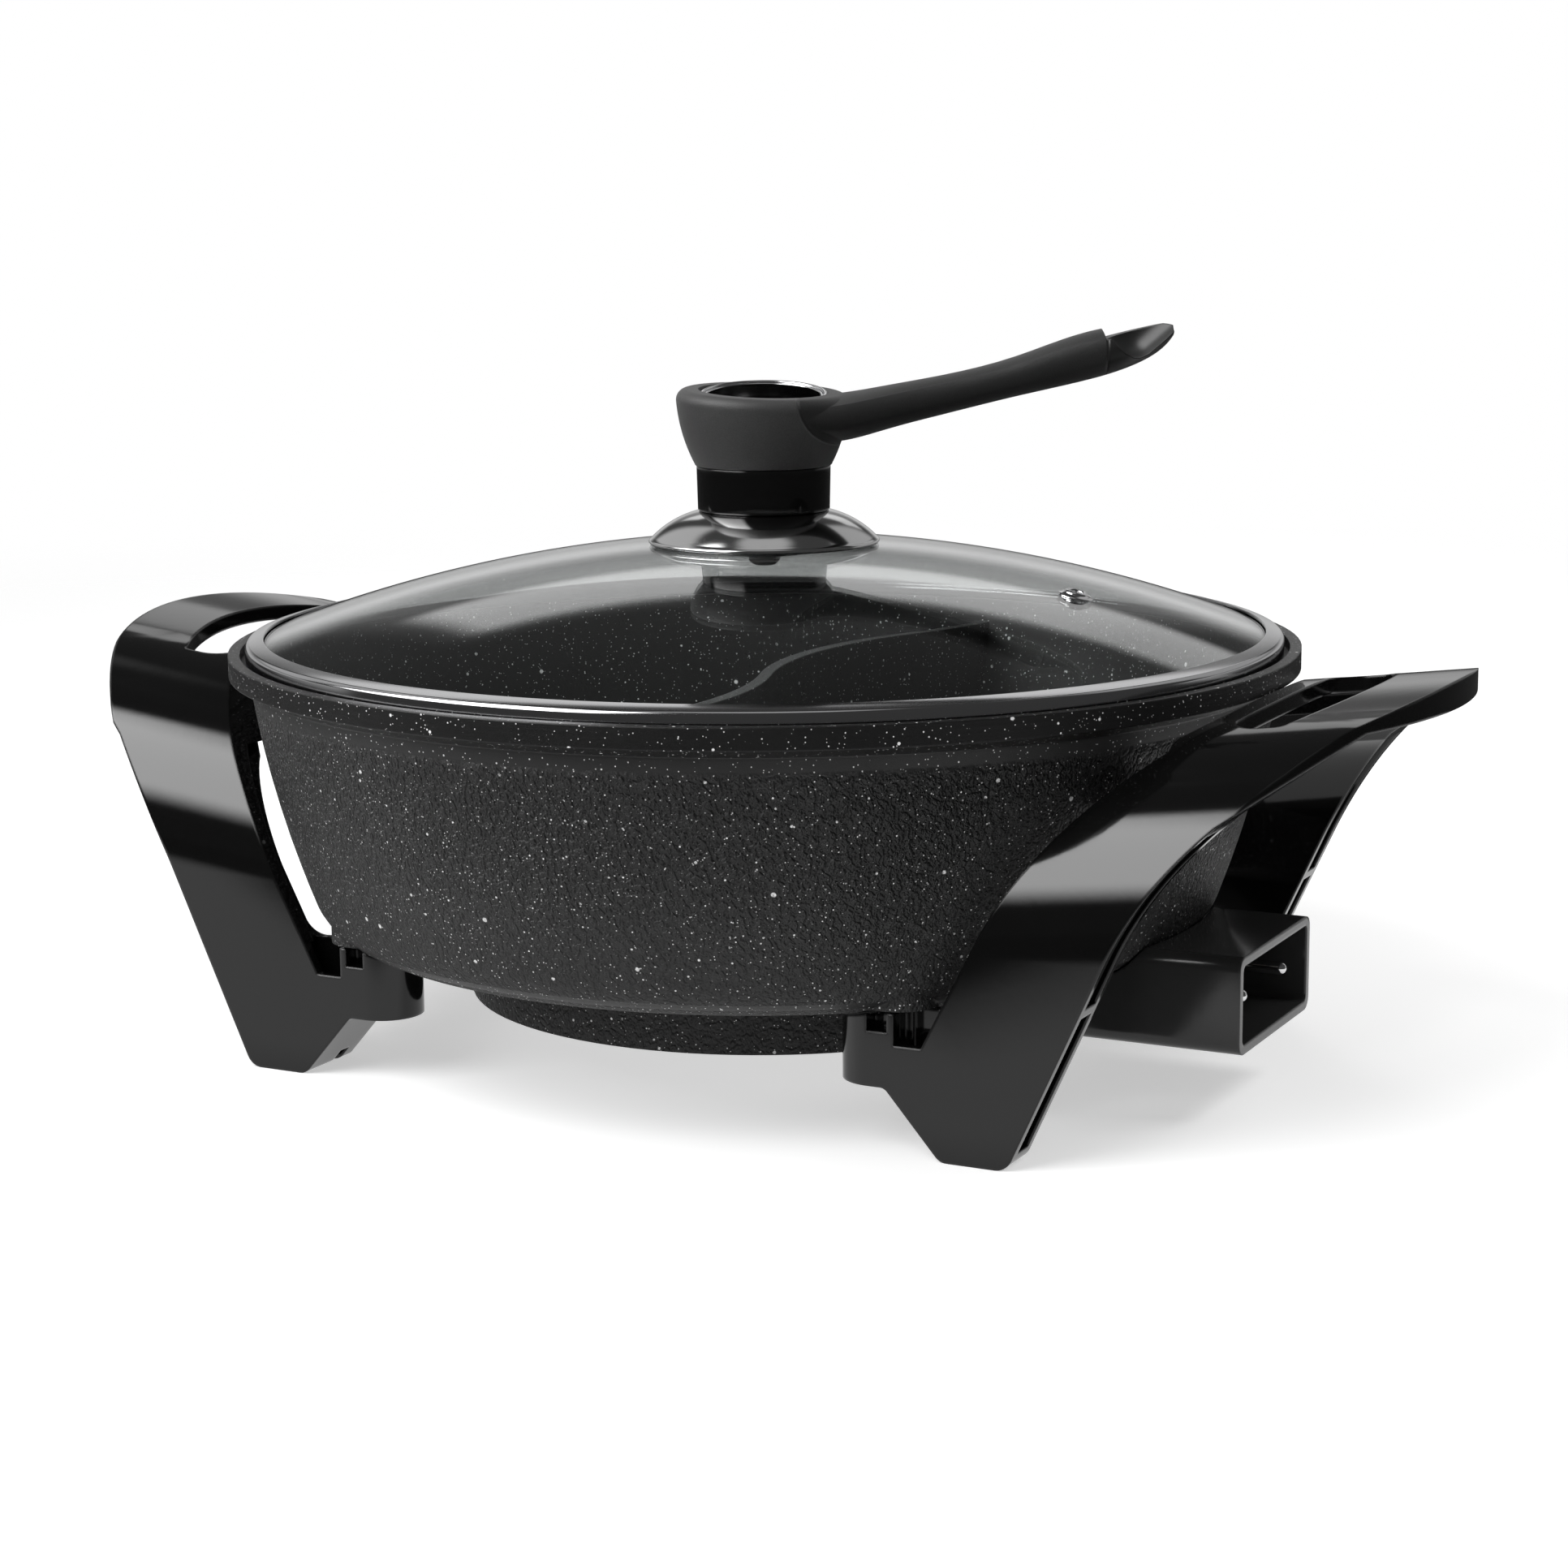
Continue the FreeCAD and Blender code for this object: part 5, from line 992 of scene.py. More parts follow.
@dataclass
class HandleLegs:
    """The two glossy handle-and-leg mouldings, in millimetres."""

    side: float = 106.5
    thick: float = 14.0
    haunch: float = 68.0
    shoulder: Point = (80.0, 111.0)
    crown: Point = (60.0, 119.4)
    plate: float = 9.0
    bends: tuple[float, float, float] = (48.0, 75.0, 350.0)
    measured_at: float = 170.0
    slope: float = 0.13
    sweep: tuple[float, float] = (94.0, 133.0)
    inner_shift: tuple[float, float] = (0.35, 0.3)
    crown_lift: float = 0.6
    close_to_arc: float = 0.25
    along_run: float = 0.03
    same_way: float = math.cos(math.radians(9))
    on_sweep: float = 0.98
    sharp_angle: float = 28.0

    def bends_of(self, points: Sequence[Point], radii: Sequence[float]) -> list[Arc]:
        """Centres and radii of the arcs of a mirrored arch outline that bulges outwards.

        Args:
            points: Outline points from the flat side to the crown.
            radii: Radius of each arc between them, and of the crown's.

        Returns:
            Each arc's centre and radius.
        """
        ends = list(points) + [(-points[-1][0], points[-1][1])]
        arcs = []
        for start, stop, radius in zip(ends, ends[1:], radii):
            centre = arc_centre(Vector(start), Vector(stop), radius, -1)
            arcs += [(centre, radius), (Vector((-centre.x, centre.y)), radius)]
        return arcs

    def arcs(self) -> list[Arc]:
        """Arcs of the arch's outer and inner faces, in width and height.

        Returns:
            Each arc's centre and radius.
        """
        thick, plate = self.thick, self.plate
        shoulder_in, crown_in = (thick * share for share in self.inner_shift)
        outer = [(self.side, self.haunch), self.shoulder, self.crown]
        inner = [(self.side - thick, self.haunch), (self.shoulder[0] - shoulder_in, self.shoulder[1] - thick),
                 (self.crown[0] - crown_in, self.crown[1] + self.crown_lift - plate)]
        inner_bends = [self.bends[0] - thick, self.bends[1] - thick, self.bends[2] - plate]
        return self.bends_of(outer, self.bends) + self.bends_of(inner, inner_bends)

    def true_normal(self, spot: Vector, facet: Vector, arcs: Sequence[Arc]) -> Optional[Vector]:
        """Exact normal of the arch's bent faces and of the swept outer edge.

        Args:
            spot: A point in millimetres, on the right-hand moulding.
            facet: The normal of the facet that it is on.
            arcs: The arch's arcs.

        Returns:
            The normal, or None where the face is another one.
        """
        run = Vector((1.0, 0.0, self.slope)).normalized()
        if abs(facet.dot(run)) < self.along_run:
            flat = Vector((spot.y, spot.z - self.slope * (spot.x - self.measured_at)))
            for centre, radius in arcs:
                away = flat - centre
                if abs(away.length - radius) > self.close_to_arc:
                    continue
                normal = Vector((-self.slope * away.y, away.x, away.y)).normalized()
                normal = normal if normal.dot(facet) > 0 else -normal
                if normal.dot(facet) > self.same_way:
                    return normal
        away = Vector((spot.x - self.sweep[0], spot.y, 0.0))
        outwards = away.normalized()
        if abs(away.length - self.sweep[1]) < self.close_to_arc and outwards.dot(facet) > self.on_sweep:
            return outwards
        return None

    def even(self, moulding: bpy.types.Object, mirror: float) -> None:
        """Give the bent faces their exact normals, so that reflections run straight.

        Args:
            moulding: The moulding's copy.
            mirror: 1 for the right-hand one and -1 for the left-hand one.
        """
        mesh = moulding.data
        arcs = self.arcs()
        flip = Vector((mirror, 1.0, 1.0))
        normals = [corner.vector.copy() for corner in mesh.corner_normals]
        for polygon in mesh.polygons:
            facet = polygon.normal * flip
            for loop in polygon.loop_indices:
                spot = mesh.vertices[mesh.loops[loop].vertex_index].co / MM * flip
                exact = self.true_normal(spot, facet, arcs)
                if exact is not None:
                    normals[loop] = exact * flip
        mesh.normals_split_custom_set(normals)

    def build(self) -> None:
        """Make both mouldings with even faces."""
        for side, mirror in (("right", 1.0), ("left", -1.0)):
            moulding = merged_copy(side + "_handle_leg", side + "_moulding", self.sharp_angle)
            self.even(moulding, mirror)
            dressed(moulding, MOULDING, side + "_handle_leg")


@dataclass
class Connector(RefinedPieces):
    """Housing, terminals, insulators, guide tube and earth spring of the plug socket."""

    pieces: Sequence[tuple[str, str, Finish]] = (
        ("connector_housing", "socket_housing", HOUSING),
        ("terminal_pin_front", "contact_pin_front", CHROME),
        ("terminal_pin_rear", "contact_pin_rear", CHROME),
        ("terminal_bush_front", "insulator_front", CERAMIC),
        ("terminal_bush_rear", "insulator_rear", CERAMIC),
        ("sensor_guide_tube", "probe_tube", TUBE),
        ("earth_spring", "earth_leaf", SPRING),
    )


@dataclass
class Heater(RefinedPieces):
    """Heating element and heat shield under the pan."""

    pieces: Sequence[tuple[str, str, Finish]] = (
        ("heating_element", "element_ring", SHEATH), ("heat_shield", "shield_disc", SHIELD))


# Fasteners


class Layout(Enum):
    """How the copies of a fastener stand."""

    GRID = "four at the corners of a rectangle"
    PAIR = "two on a line along Y"
    RING = "three on a circle"


@dataclass(frozen=True)
class Pattern:
    """Places of a fastener's copies, in millimetres."""

    layout: Layout
    span_x: float
    span_y: float
    seat: float


@dataclass(frozen=True)
class ScrewSize:
    """Radius of a pan-head screw's shank, and radius and height of its head, in millimetres."""

    shank: float
    head: float
    deep: float


@dataclass
class Fasteners:
    """Every screw and washer, each kind made once and placed by Geometry Nodes."""

    seat_x: float = 86.0
    seat_y: float = 94.5
    handle_seat: float = 27.4
    washer: float = 0.8
    post_x: float = 108.0
    post_y: float = 27.5
    pillar_circle: float = 48.0
    pillar_turn: float = math.radians(60)
    handle_screw: ScrewSize = ScrewSize(1.9, 4.0, 2.8)
    housing_screw: ScrewSize = ScrewSize(1.5, 3.0, 2.0)
    shield_screw: ScrewSize = ScrewSize(1.5, 3.0, 1.6)
    recess_taper: float = 0.7

    def screw(self, name: str, size: ScrewSize, long: float) -> bpy.types.Object:
        """A pan-head screw that points up, with its seat at the origin and a cross recess.

        Args:
            name: Its name.
            size: Its shank and head.
            long: Length of the shank.

        Returns:
            The screw.
        """
        shank, head, deep = size.shank, size.head, size.deep
        body = turned(name, [
            (0, -deep), (head * 0.5, -deep), (head, -deep * 0.42, head * 0.78, -1), (head, -deep * 0.1),
            (head * 0.97, 0, head * 0.1, -1), (shank, 0), (shank, long - shank * 0.5), (shank * 0.5, long),
            (0, long)], segments=40)
        recess = self.cross(name + "_recess", head * 0.55, head * 0.15, deep * 0.55, -deep)
        cut = body.modifiers.new("recess", "BOOLEAN")
        cut.operation = "DIFFERENCE"
        cut.object = recess
        self.bake(body)
        bpy.data.objects.remove(recess)
        return body

    def cross(self, name: str, long: float, wide: float, deep: float, low: float) -> bpy.types.Object:
        """A cross-shaped cutter.

        Args:
            name: Its name.
            long: Half length of an arm.
            wide: Half width of an arm.
            deep: How deep it cuts.
            low: Height of the face that it cuts into.

        Returns:
            The cutter.
        """
        shape = bmesh.new()
        flat = []
        for turn in range(4):
            for corner in ((long, -wide), (long, wide), (wide, wide)):
                spot = Matrix.Rotation(math.pi / 2 * turn, 2) @ Vector(corner)
                flat.append(shape.verts.new((spot.x * MM, spot.y * MM, (low - 1) * MM)))
        raised = bmesh.ops.extrude_face_region(shape, geom=[shape.faces.new(flat)])["geom"]
        top = [item for item in raised if isinstance(item, bmesh.types.BMVert)]
        bmesh.ops.translate(shape, verts=top, vec=(0, 0, (deep + 1) * MM))
        bmesh.ops.scale(shape, verts=top, vec=(self.recess_taper, self.recess_taper, 1.0))
        bmesh.ops.recalc_face_normals(shape, faces=shape.faces)
        return mesh_object(name, shape)

    def bake(self, piece: bpy.types.Object) -> None:
        """Turn a piece with modifiers into a plain mesh.

        Args:
            piece: The piece, which keeps its name.
        """
        depsgraph = bpy.context.evaluated_depsgraph_get()
        mesh = bpy.data.meshes.new_from_object(piece.evaluated_get(depsgraph), depsgraph=depsgraph)
        piece.modifiers.clear()
        piece.data = mesh
        mesh.name = piece.name

    def points(self, graph: Graph, layout: Layout, spans: Mapping[str, Socket]) -> Socket:
        """Add the nodes that make a pattern's points.

        Args:
            graph: The Geometry Nodes graph.
            layout: How the points stand.
            spans: The graph's own inputs by name.

        Returns:
            The geometry with the points.
        """
        across, along = spans["Span X"], spans["Span Y"]
        if layout is Layout.GRID:
            return graph.add("GeometryNodeMeshGrid", sockets={
                "Vertices X": 2, "Vertices Y": 2, "Size X": across, "Size Y": along}).outputs["Mesh"]
        if layout is Layout.PAIR:
            start, stop = (graph.join(across, graph.math("MULTIPLY", along, share), 0.0)
                           for share in (-0.5, 0.5))
            return graph.add("GeometryNodeMeshLine", {"mode": "END_POINTS"}, {
                "Count": 2, "Start Location": start, "Offset": stop}).outputs["Mesh"]
        ring = graph.add("GeometryNodeMeshCircle", sockets={"Vertices": 3, "Radius": across})
        return graph.add("GeometryNodeTransform", sockets={
            "Geometry": ring.outputs["Mesh"], "Rotation": (0.0, 0.0, self.pillar_turn)}).outputs["Geometry"]

    def spread(self, name: str, master: bpy.types.Object, pattern: Pattern,
               finish: Finish) -> bpy.types.Object:
        """Place copies of a fastener with Geometry Nodes and bake them.

        Args:
            name: The new piece's name.
            master: The fastener at the origin, which is removed afterwards.
            pattern: Where the copies stand.
            finish: Their finish.

        Returns:
            The new piece.
        """
        tree = bpy.data.node_groups.new(name + "_pattern", "GeometryNodeTree")
        tree.is_modifier = True
        amounts = (
            ("Fastener", "NodeSocketObject", master),
            ("Span X", "NodeSocketFloat", pattern.span_x * MM),
            ("Span Y", "NodeSocketFloat", pattern.span_y * MM),
            ("Seat", "NodeSocketFloat", pattern.seat * MM),
            ("Finish", "NodeSocketMaterial", finish.material()),
        )
        keys = [tree.interface.new_socket(name=label, in_out="INPUT", socket_type=kind).identifier
                for label, kind, _ in amounts]
        tree.interface.new_socket(name="Geometry", in_out="OUTPUT", socket_type="NodeSocketGeometry")
        graph = Graph(tree, "NodeGroupOutput")
        entry = graph.add("NodeGroupInput").outputs
        moved = graph.add("GeometryNodeTransform", sockets={
            "Geometry": self.points(graph, pattern.layout, entry),
            "Translation": graph.join(0.0, 0.0, entry["Seat"])})
        info = graph.add("GeometryNodeObjectInfo", sockets={"Object": entry["Fastener"]})
        copies = graph.add("GeometryNodeInstanceOnPoints", sockets={
            "Points": moved.outputs["Geometry"], "Instance": info.outputs["Geometry"]})
        real = graph.add("GeometryNodeRealizeInstances", sockets={0: copies.outputs[0]})
        painted = graph.add("GeometryNodeSetMaterial", sockets={
            "Geometry": real.outputs[0], "Material": entry["Finish"]})
        graph.close(painted.outputs[0])
        piece = mesh_object(name, bmesh.new())
        modifier = piece.modifiers.new("pattern", "NODES")
        modifier.node_group = tree
        for key, (_, _, amount) in zip(keys, amounts):
            modifier[key] = amount
        self.bake(piece)
        bpy.data.objects.remove(master)
        return piece

    def build(self) -> None:
        """Make the handle screws and washers, the housing screws and the shield screws."""
        housing_seat = reach("housing_screws")[0][2] + self.housing_screw.deep
        shield_seat = reach("shield_screws")[0][2] + self.shield_screw.deep
        corners = Pattern(Layout.GRID, 2 * self.seat_x, 2 * self.seat_y, self.handle_seat - self.washer)
        posts = Pattern(Layout.PAIR, self.post_x, 2 * self.post_y, housing_seat)
        pillars = Pattern(Layout.RING, self.pillar_circle, 0.0, shield_seat)
        for place, size, pattern in (
                ("handle", self.handle_screw, corners), ("housing", self.housing_screw, posts),
                ("shield", self.shield_screw, pillars)):
            node = place + "_screws"
            master = self.screw(place + "_screw", size, reach(node)[1][2] - pattern.seat)
            dressed(self.spread(place + "_screw_set", master, pattern, ZINC), ZINC, node)
        dressed(self.spread("handle_washer_set", self.washer_ring(), corners, ZINC), ZINC, "handle_washers")

    def washer_ring(self) -> bpy.types.Object:
        """A washer with soft edges, lying on the origin.

        Returns:
            The washer.
        """
        top = self.washer
        return turned("handle_washer", [
            (2.1, 0.1), (2.2, 0), (4.35, 0), (4.5, 0.15, 0.15, -1), (4.5, top - 0.15), (4.35, top, 0.15, -1),
            (2.2, top), (2.1, top - 0.1)], segments=48)


# Lid


@dataclass
class Lid:
    """Glass dome, steel rim band and steam vent, in millimetres."""

    dome: float = 455.3
    glass: float = 4.0
    ground: float = 0.6
    ground_bend: float = 0.8
    hole: float = 3.5
    band_inner: float = 158.8
    band_metal: float = 0.8
    band_crown: float = 1.3
    band_foot: float = 1.0
    band_lip: float = 0.3
    band_shoulder: Point = (1.6, 1.4)
    band_bend: float = 1.8
    band_fold: float = 1.9
    band_fold_bend: float = 1.2
    vent_radius: float = 107.2
    vent_bearing: float = -1.0
    vent_flange: float = 5.4
    vent_tube: float = 3.1
    vent_bore: float = 2.0
    vent_gap: float = 0.05
    vent_rise: float = 1.5
    top: float = field(init=False)
    edge: float = field(init=False)

    def __post_init__(self) -> None:
        """Read the dome's height and radius from the frame."""
        self.edge, _, self.top = reach("lid_glass")[1]

    def height(self, radius: float, inset: float = 0.0) -> float:
        """Height of the dome at a distance from the lid's axis, an inset below its outer surface."""
        return self.top - self.dome + math.sqrt((self.dome - inset) ** 2 - radius**2)

    def build(self) -> None:
        """Make the glass, the band and the vent."""
        self.build_glass()
        self.build_band()
        self.build_vent()

    def build_glass(self) -> None:
        """Dome with a ground edge and a hole in the middle."""
        hole, edge, dome, glass, bend = self.hole, self.edge, self.dome, self.glass, self.ground_bend
        flat = edge - self.ground
        dome_piece = turned("glass_dome", [
            (hole, self.height(hole)),
            (flat, self.height(flat), dome, 1),
            (edge, self.height(edge) - 0.7, bend, 1),
            (edge, self.height(edge, glass) + self.ground),
            (flat, self.height(flat, glass), bend, 1),
            (hole, self.height(hole, glass), dome - glass, -1)], segments=256, step=0.5)
        dressed(dome_piece, GLASS, "lid_glass")

    def build_band(self) -> None:
        """Folded steel band round the glass's edge."""
        (_, _, low), (outer, _, _) = reach("lid_rim_band")
        high = self.height(self.edge) + self.band_crown
        inner_high = self.height(self.band_inner) + self.band_crown * 0.9
        inner, metal, foot, lip, fold = (
            self.band_inner, self.band_metal, self.band_foot, self.band_lip, self.band_fold)
        across, down = self.band_shoulder
        band = turned("steel_band", [
            (inner, low), (outer - foot, low), (outer, low + foot, foot, -1), (outer, high - down),
            (outer - across, high, self.band_bend, -1), (inner + lip, inner_high),
            (inner, inner_high - lip, lip, -1), (inner, inner_high - metal),
            (outer - fold, high - metal), (outer - metal, high - fold, self.band_fold_bend, 1),
            (outer - metal, low + metal), (inner, low + metal)], segments=256)
        dressed(band, BAND, "lid_rim_band")

    def build_vent(self) -> None:
        """Riveted eyelet that stands square on the dome."""
        over, rise, under = self.vent_gap, self.vent_rise, self.glass + 2 * self.vent_gap
        bore, tube, flange = self.vent_bore, self.vent_tube, self.vent_flange
        eyelet = turned("vent_eyelet", [
            (bore, rise - 0.3), (bore + 0.9, rise + 0.3, 0.7, 1), (bore + 1.7, rise - 0.4, 0.9, 1),
            (flange - 0.7, rise - 0.8), (flange, over + 0.15, 0.8, 1), (flange, over), (tube, over),
            (tube, -under), (flange - 0.5, -under), (flange - 0.7, -under - 0.8), (bore, -under - 0.8)],
            segments=72)
        lean = math.asin(self.vent_radius / self.dome)
        bearing = Matrix.Rotation(math.radians(self.vent_bearing), 4, "Z")
        lift = Matrix.Translation((self.vent_radius * MM, 0, self.height(self.vent_radius) * MM))
        eyelet.data.transform(bearing @ lift @ Matrix.Rotation(lean, 4, "Y"))
        dressed(eyelet, CHROME, "steam_vent")


# Knob


@dataclass
class Knob:
    """Skirt, collar, cup with the long arm, trim ring and well, in millimetres and degrees."""

    skirt_metal: float = 1.4
    skirt_shoulder: float = 19.8
    skirt_bend: float = 30.0
    skirt_hem: float = 2.2
    stem: float = 7.0
    slip: float = 0.1
    bore: float = 2.6
    mouth_radius: float = 20.5
    mouth_height: float = 23.0
    mouth_lean: float = 7.7
    mouth_depth: float = 15.0
    trim_bead: float = 1.3
    trim_step: float = 0.9
    trim_depth: float = 5.0
    well_skin: float = 1.4
    bearing: float = 26.87
    handle_sharp: float = 21.0
    foot: float = field(init=False)

    def __post_init__(self) -> None:
        """Read the height of the cup's foot from the frame."""
        self.foot = reach("knob_handle")[0][2]

    def build(self) -> None:
        """Make every piece of the knob."""
        self.build_skirt()
        self.build_collar()
        self.build_handle()
        self.build_trim()
        self.build_well()

    def build_skirt(self) -> None:
        """Spun steel dome under the collar."""
        (_, _, bottom), (outer, _, top) = reach("knob_skirt")
        shoulder, metal, hole = self.skirt_shoulder, self.skirt_metal, self.stem + self.slip
        hem = outer - self.skirt_hem
        skirt = turned("spun_skirt", [
            (hole, top), (shoulder, top), (outer - 0.6, bottom + 1.6, self.skirt_bend, 1),
            (outer, bottom + 0.6, 1.0, 1), (outer - 0.8, bottom, 0.8, 1), (hem, bottom),
            (hem, bottom + 1.2), (shoulder - 0.4, top - metal, self.skirt_bend - metal, -1),
            (hole, top - metal)], segments=200, step=2.0)
        dressed(skirt, SKIRT, "knob_skirt")

    def build_collar(self) -> None:
        """Glossy collar with its stem."""
        (_, _, bottom), (radius, _, top) = reach("knob_collar")
        seat = reach("knob_skirt")[1][2]
        collar = turned("gloss_collar", [
            (self.bore, bottom), (self.stem, bottom), (self.stem, seat), (radius - 0.8, seat),
            (radius - 0.3, seat + 0.5, 0.6, -1), (radius, top - 0.4), (radius - 0.4, top, 0.4, -1),
            (self.bore, top)], segments=160)
        dressed(collar, COLLAR, "knob_collar")

    def build_handle(self) -> None:
        """Cup and arm with their soft-touch sleeve."""
        dressed(merged_copy("knob_handle", "soft_handle", self.handle_sharp), SOFT, "knob_handle")

    def into_mouth(self, piece: bpy.types.Object) -> bpy.types.Object:
        """Lean a piece that is made round the axis into the cup's mouth.

        Args:
            piece: The piece, with the level of the trim ring's top at height 0.

        Returns:
            The same piece.
        """
        bearing = Matrix.Rotation(math.radians(self.bearing), 4, "Z")
        lift = Matrix.Translation((0, 0, (self.foot + self.mouth_height) * MM))
        piece.data.transform(lift @ bearing @ Matrix.Rotation(math.radians(self.mouth_lean), 4, "X"))
        return piece

    def build_trim(self) -> None:
        """Bright ring with two beads."""
        outer = self.mouth_radius - self.slip
        groove = outer - self.trim_bead
        inner = groove - self.trim_step
        bead = -self.trim_bead / 2
        step = bead - self.trim_step / 2
        ring = turned("trim_ring", [
            (inner, -self.trim_depth), (outer, -self.trim_depth), (outer, bead),
            (groove, bead, self.trim_bead * 0.52, -1), (groove, step),
            (inner, step, self.trim_step * 0.6, -1)], segments=160, step=12)
        dressed(self.into_mouth(ring), CHROME, "knob_trim_ring")

    def build_well(self) -> None:
        """Glossy dish in the cup's mouth."""
        outer = self.mouth_radius - self.slip
        inner = outer - self.well_skin
        floor = -self.mouth_depth
        bend = self.well_skin * 1.4
        dish = turned("well_dish", [
            (0, floor), (outer, floor), (outer, -self.trim_depth), (inner, -self.trim_depth),
            (inner, floor + self.well_skin + bend), (inner - bend, floor + self.well_skin, bend, 1),
            (0, floor + self.well_skin)], segments=128)
        dressed(self.into_mouth(dish), WELL, "knob_well_insert")


@dataclass
class KnobFixings(RefinedPieces):
    """Screw, washer and gaskets that hold the knob at the glass."""

    pieces: Sequence[tuple[str, str, Finish]] = (
        ("knob_screw", "knob_bolt", ZINC), ("knob_washer", "knob_bolt_washer", ZINC),
        ("upper_gasket", "gasket_above", RUBBER), ("lower_gasket", "gasket_below", RUBBER))


# Studio


@dataclass(frozen=True)
class Lamp:
    """A soft box: its bearing and elevation from the object, distance, size and strength."""

    name: str
    bearing: float
    elevation: float
    distance: float
    width: float
    height: float
    power: float


@dataclass(frozen=True)
class Window:
    """A soft-edged bright field that gloss surfaces mirror, in degrees seen from the object."""

    bearing: float
    elevation: float
    half_width: float
    half_height: float
    soft: float
    level: float


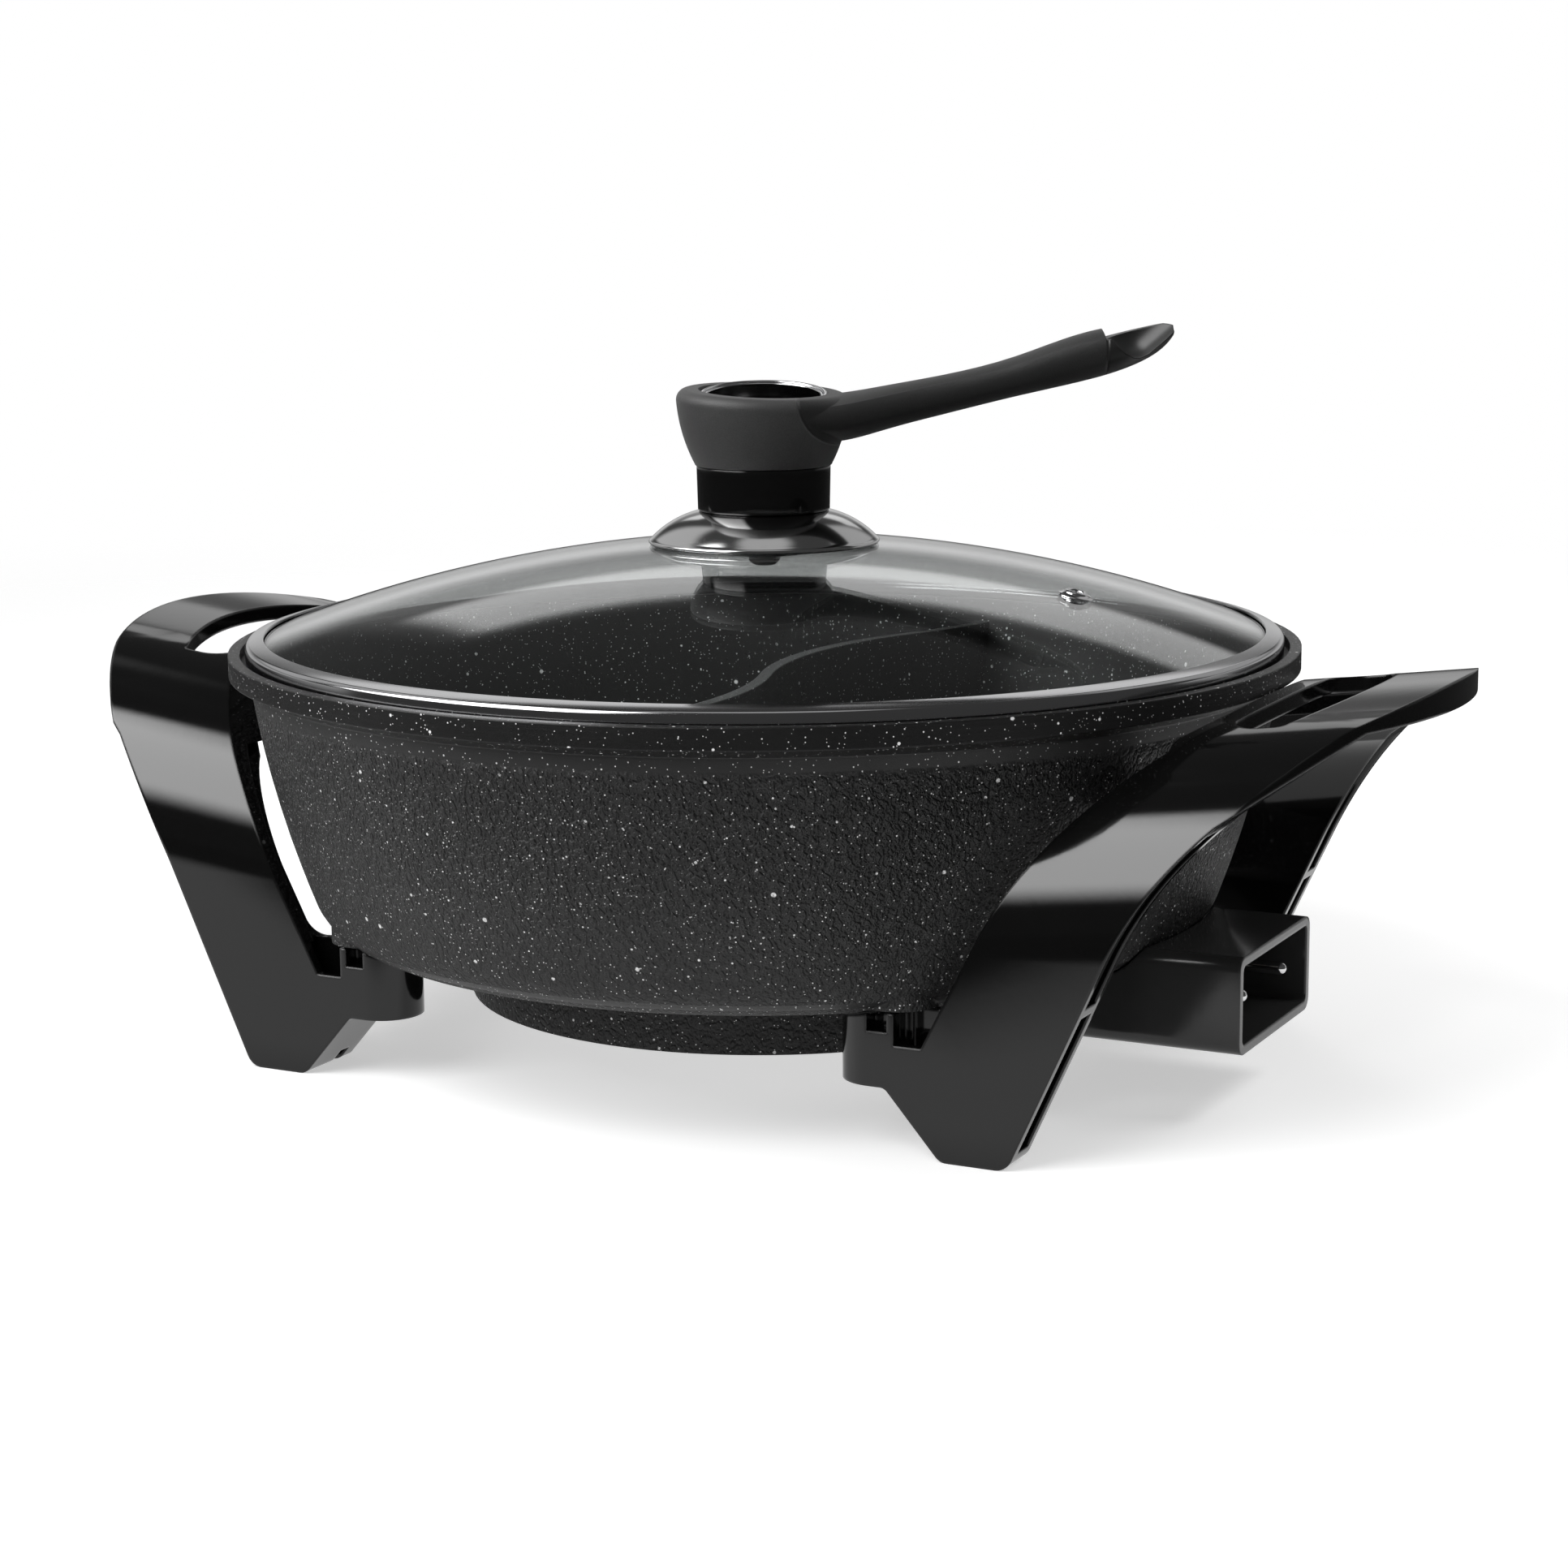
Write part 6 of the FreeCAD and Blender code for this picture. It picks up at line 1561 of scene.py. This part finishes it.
@dataclass
class Studio:
    """Floor, backdrop, lamps and camera. Bearings run from away from the camera to the right."""

    centre: tuple[float, float, float] = (0.0, 0.0, 0.09)
    camera_spot: tuple[float, float, float] = (0.4701, -0.9152, 0.2770)
    camera_bearing: float = 26.87
    camera_pitch: float = 10.69
    camera_roll: float = 0.442
    lens: float = 74.34
    sensor: float = 36.0
    clip: Point = (0.05, 50.0)
    floor_half: float = 2.0
    horizon: Point = (-0.03, 0.02)
    ambient: float = 0.25
    dark: float = 0.058
    windows: Sequence[Window] = (
        Window(-106.0, 43.0, 34.0, 20.0, 7.0, 7.4),
        Window(0.0, 16.0, 14.0, 12.0, 2.2, 0.15),
        Window(3.5, 22.6, 17.0, 4.6, 1.0, 0.66),
        Window(0.0, 4.0, 80.0, 6.0, 4.0, 0.45),
        Window(45.0, 32.0, 22.0, 19.0, 4.0, 0.40),
        Window(-42.0, 32.0, 18.0, 19.0, 4.0, 0.50),
        Window(0.0, 90.0, 180.0, 14.0, 4.0, 0.45),
    )
    lamps: Sequence[Lamp] = (
        Lamp("key_box", -159.0, 43.0, 1.35, 1.00, 0.86, 15.0),
        Lamp("rear_box", 62.0, 46.0, 1.6, 0.7, 0.5, 8.0),
        Lamp("side_box", -20.0, 30.0, 1.7, 0.35, 1.0, 4.0),
    )

    def build(self) -> None:
        """Make everything round the object."""
        self.build_floor()
        self.build_world()
        for lamp in self.lamps:
            self.build_lamp(lamp)
        self.build_camera()

    def build_floor(self) -> None:
        """A wide plain floor."""
        shape = bmesh.new()
        half = self.floor_half
        shape.faces.new([shape.verts.new(spot) for spot in
                         ((-half, -half, 0), (half, -half, 0), (half, half, 0), (-half, half, 0))])
        floor = mesh_object("studio_floor", shape)
        floor.data.materials.append(FLOOR.material())

    def build_world(self) -> None:
        """White for the eye and through glass, soft windows for reflections, even light for the rest."""
        world = bpy.data.worlds.new("studio")
        bpy.context.scene.world = world
        world.use_nodes = True
        graph = Graph(world.node_tree, "ShaderNodeOutputWorld")
        x, y, z = graph.split(graph.add("ShaderNodeTexCoord").outputs["Generated"])
        elevation = graph.degrees(graph.math("ARCSINE", z))
        mirrored: Operand = self.dark
        for window in self.windows:
            turn = math.radians(self.camera_bearing - window.bearing)
            ahead = x * -math.sin(turn) + y * math.cos(turn)
            across = x * math.cos(turn) + y * math.sin(turn)
            aside = graph.math("ABSOLUTE", graph.degrees(graph.math("ARCTAN2", across, ahead)))
            above = graph.math("ABSOLUTE", elevation - window.elevation)
            wide = graph.within(aside, window.half_width, window.soft)
            high = graph.within(above, window.half_height, window.soft)
            mirrored = wide * high * window.level + mirrored
        path = graph.add("ShaderNodeLightPath")
        through = graph.ease(z, *self.horizon, 1.0, 0.0) * path.outputs["Is Transmission Ray"]
        bounced = graph.math("MAXIMUM", path.outputs["Is Glossy Ray"], path.outputs["Is Transmission Ray"])
        level = graph.add("ShaderNodeMix", {"data_type": "FLOAT"},
                          {0: bounced, 2: self.ambient, 3: mirrored}).outputs[0]
        seen = graph.math("MAXIMUM", path.outputs["Is Camera Ray"], through)
        level = graph.add("ShaderNodeMix", {"data_type": "FLOAT"}, {0: seen, 2: level, 3: 1.0}).outputs[0]
        graph.close(graph.add("ShaderNodeBackground", sockets={0: grey(1.0), 1: level}).outputs[0])

    def build_lamp(self, lamp: Lamp) -> None:
        """A soft box aimed at the object.

        Args:
            lamp: Its place, size and strength.
        """
        light = bpy.data.lights.new(lamp.name, "AREA")
        light.shape = "RECTANGLE"
        light.size = lamp.width
        light.size_y = lamp.height
        light.energy = lamp.power
        box = bpy.data.objects.new(lamp.name, light)
        bpy.context.scene.collection.objects.link(box)
        turn, rise = math.radians(lamp.bearing), math.radians(lamp.elevation)
        way = Vector((math.sin(turn) * math.cos(rise), math.cos(turn) * math.cos(rise), math.sin(rise)))
        box.location = Vector(self.centre) + way * lamp.distance
        box.rotation_euler = (-way).to_track_quat("-Z", "Y").to_euler()
        box.visible_camera = box.visible_glossy = box.visible_transmission = False

    def build_camera(self) -> None:
        """The camera at its place, with its small roll."""
        data = bpy.data.cameras.new("camera")
        data.lens = self.lens
        data.sensor_width = self.sensor
        data.clip_start, data.clip_end = self.clip
        camera = bpy.data.objects.new("camera", data)
        bpy.context.scene.collection.objects.link(camera)
        bearing, pitch, roll = (math.radians(angle) for angle in
                                (self.camera_bearing, self.camera_pitch, self.camera_roll))
        aim = (Matrix.Rotation(bearing, 4, "Z") @ Matrix.Rotation(math.pi / 2 - pitch, 4, "X")
               @ Matrix.Rotation(-roll, 4, "Z"))
        camera.matrix_world = Matrix.Translation(self.camera_spot) @ aim
        bpy.context.scene.camera = camera


def main() -> None:
    """Build every sub-assembly in order."""
    logging.basicConfig(level=logging.INFO, format="%(name)s: %(message)s")
    bpy.context.scene.view_settings.view_transform = "Standard"
    for assembly in (Studio(), Pan(), HandleLegs(), Connector(), Heater(), Fasteners(), Lid(), Knob(),
                     KnobFixings()):
        log.info("building %s", type(assembly).__name__)
        assembly.build()


if __name__ == "__main__":
    main()
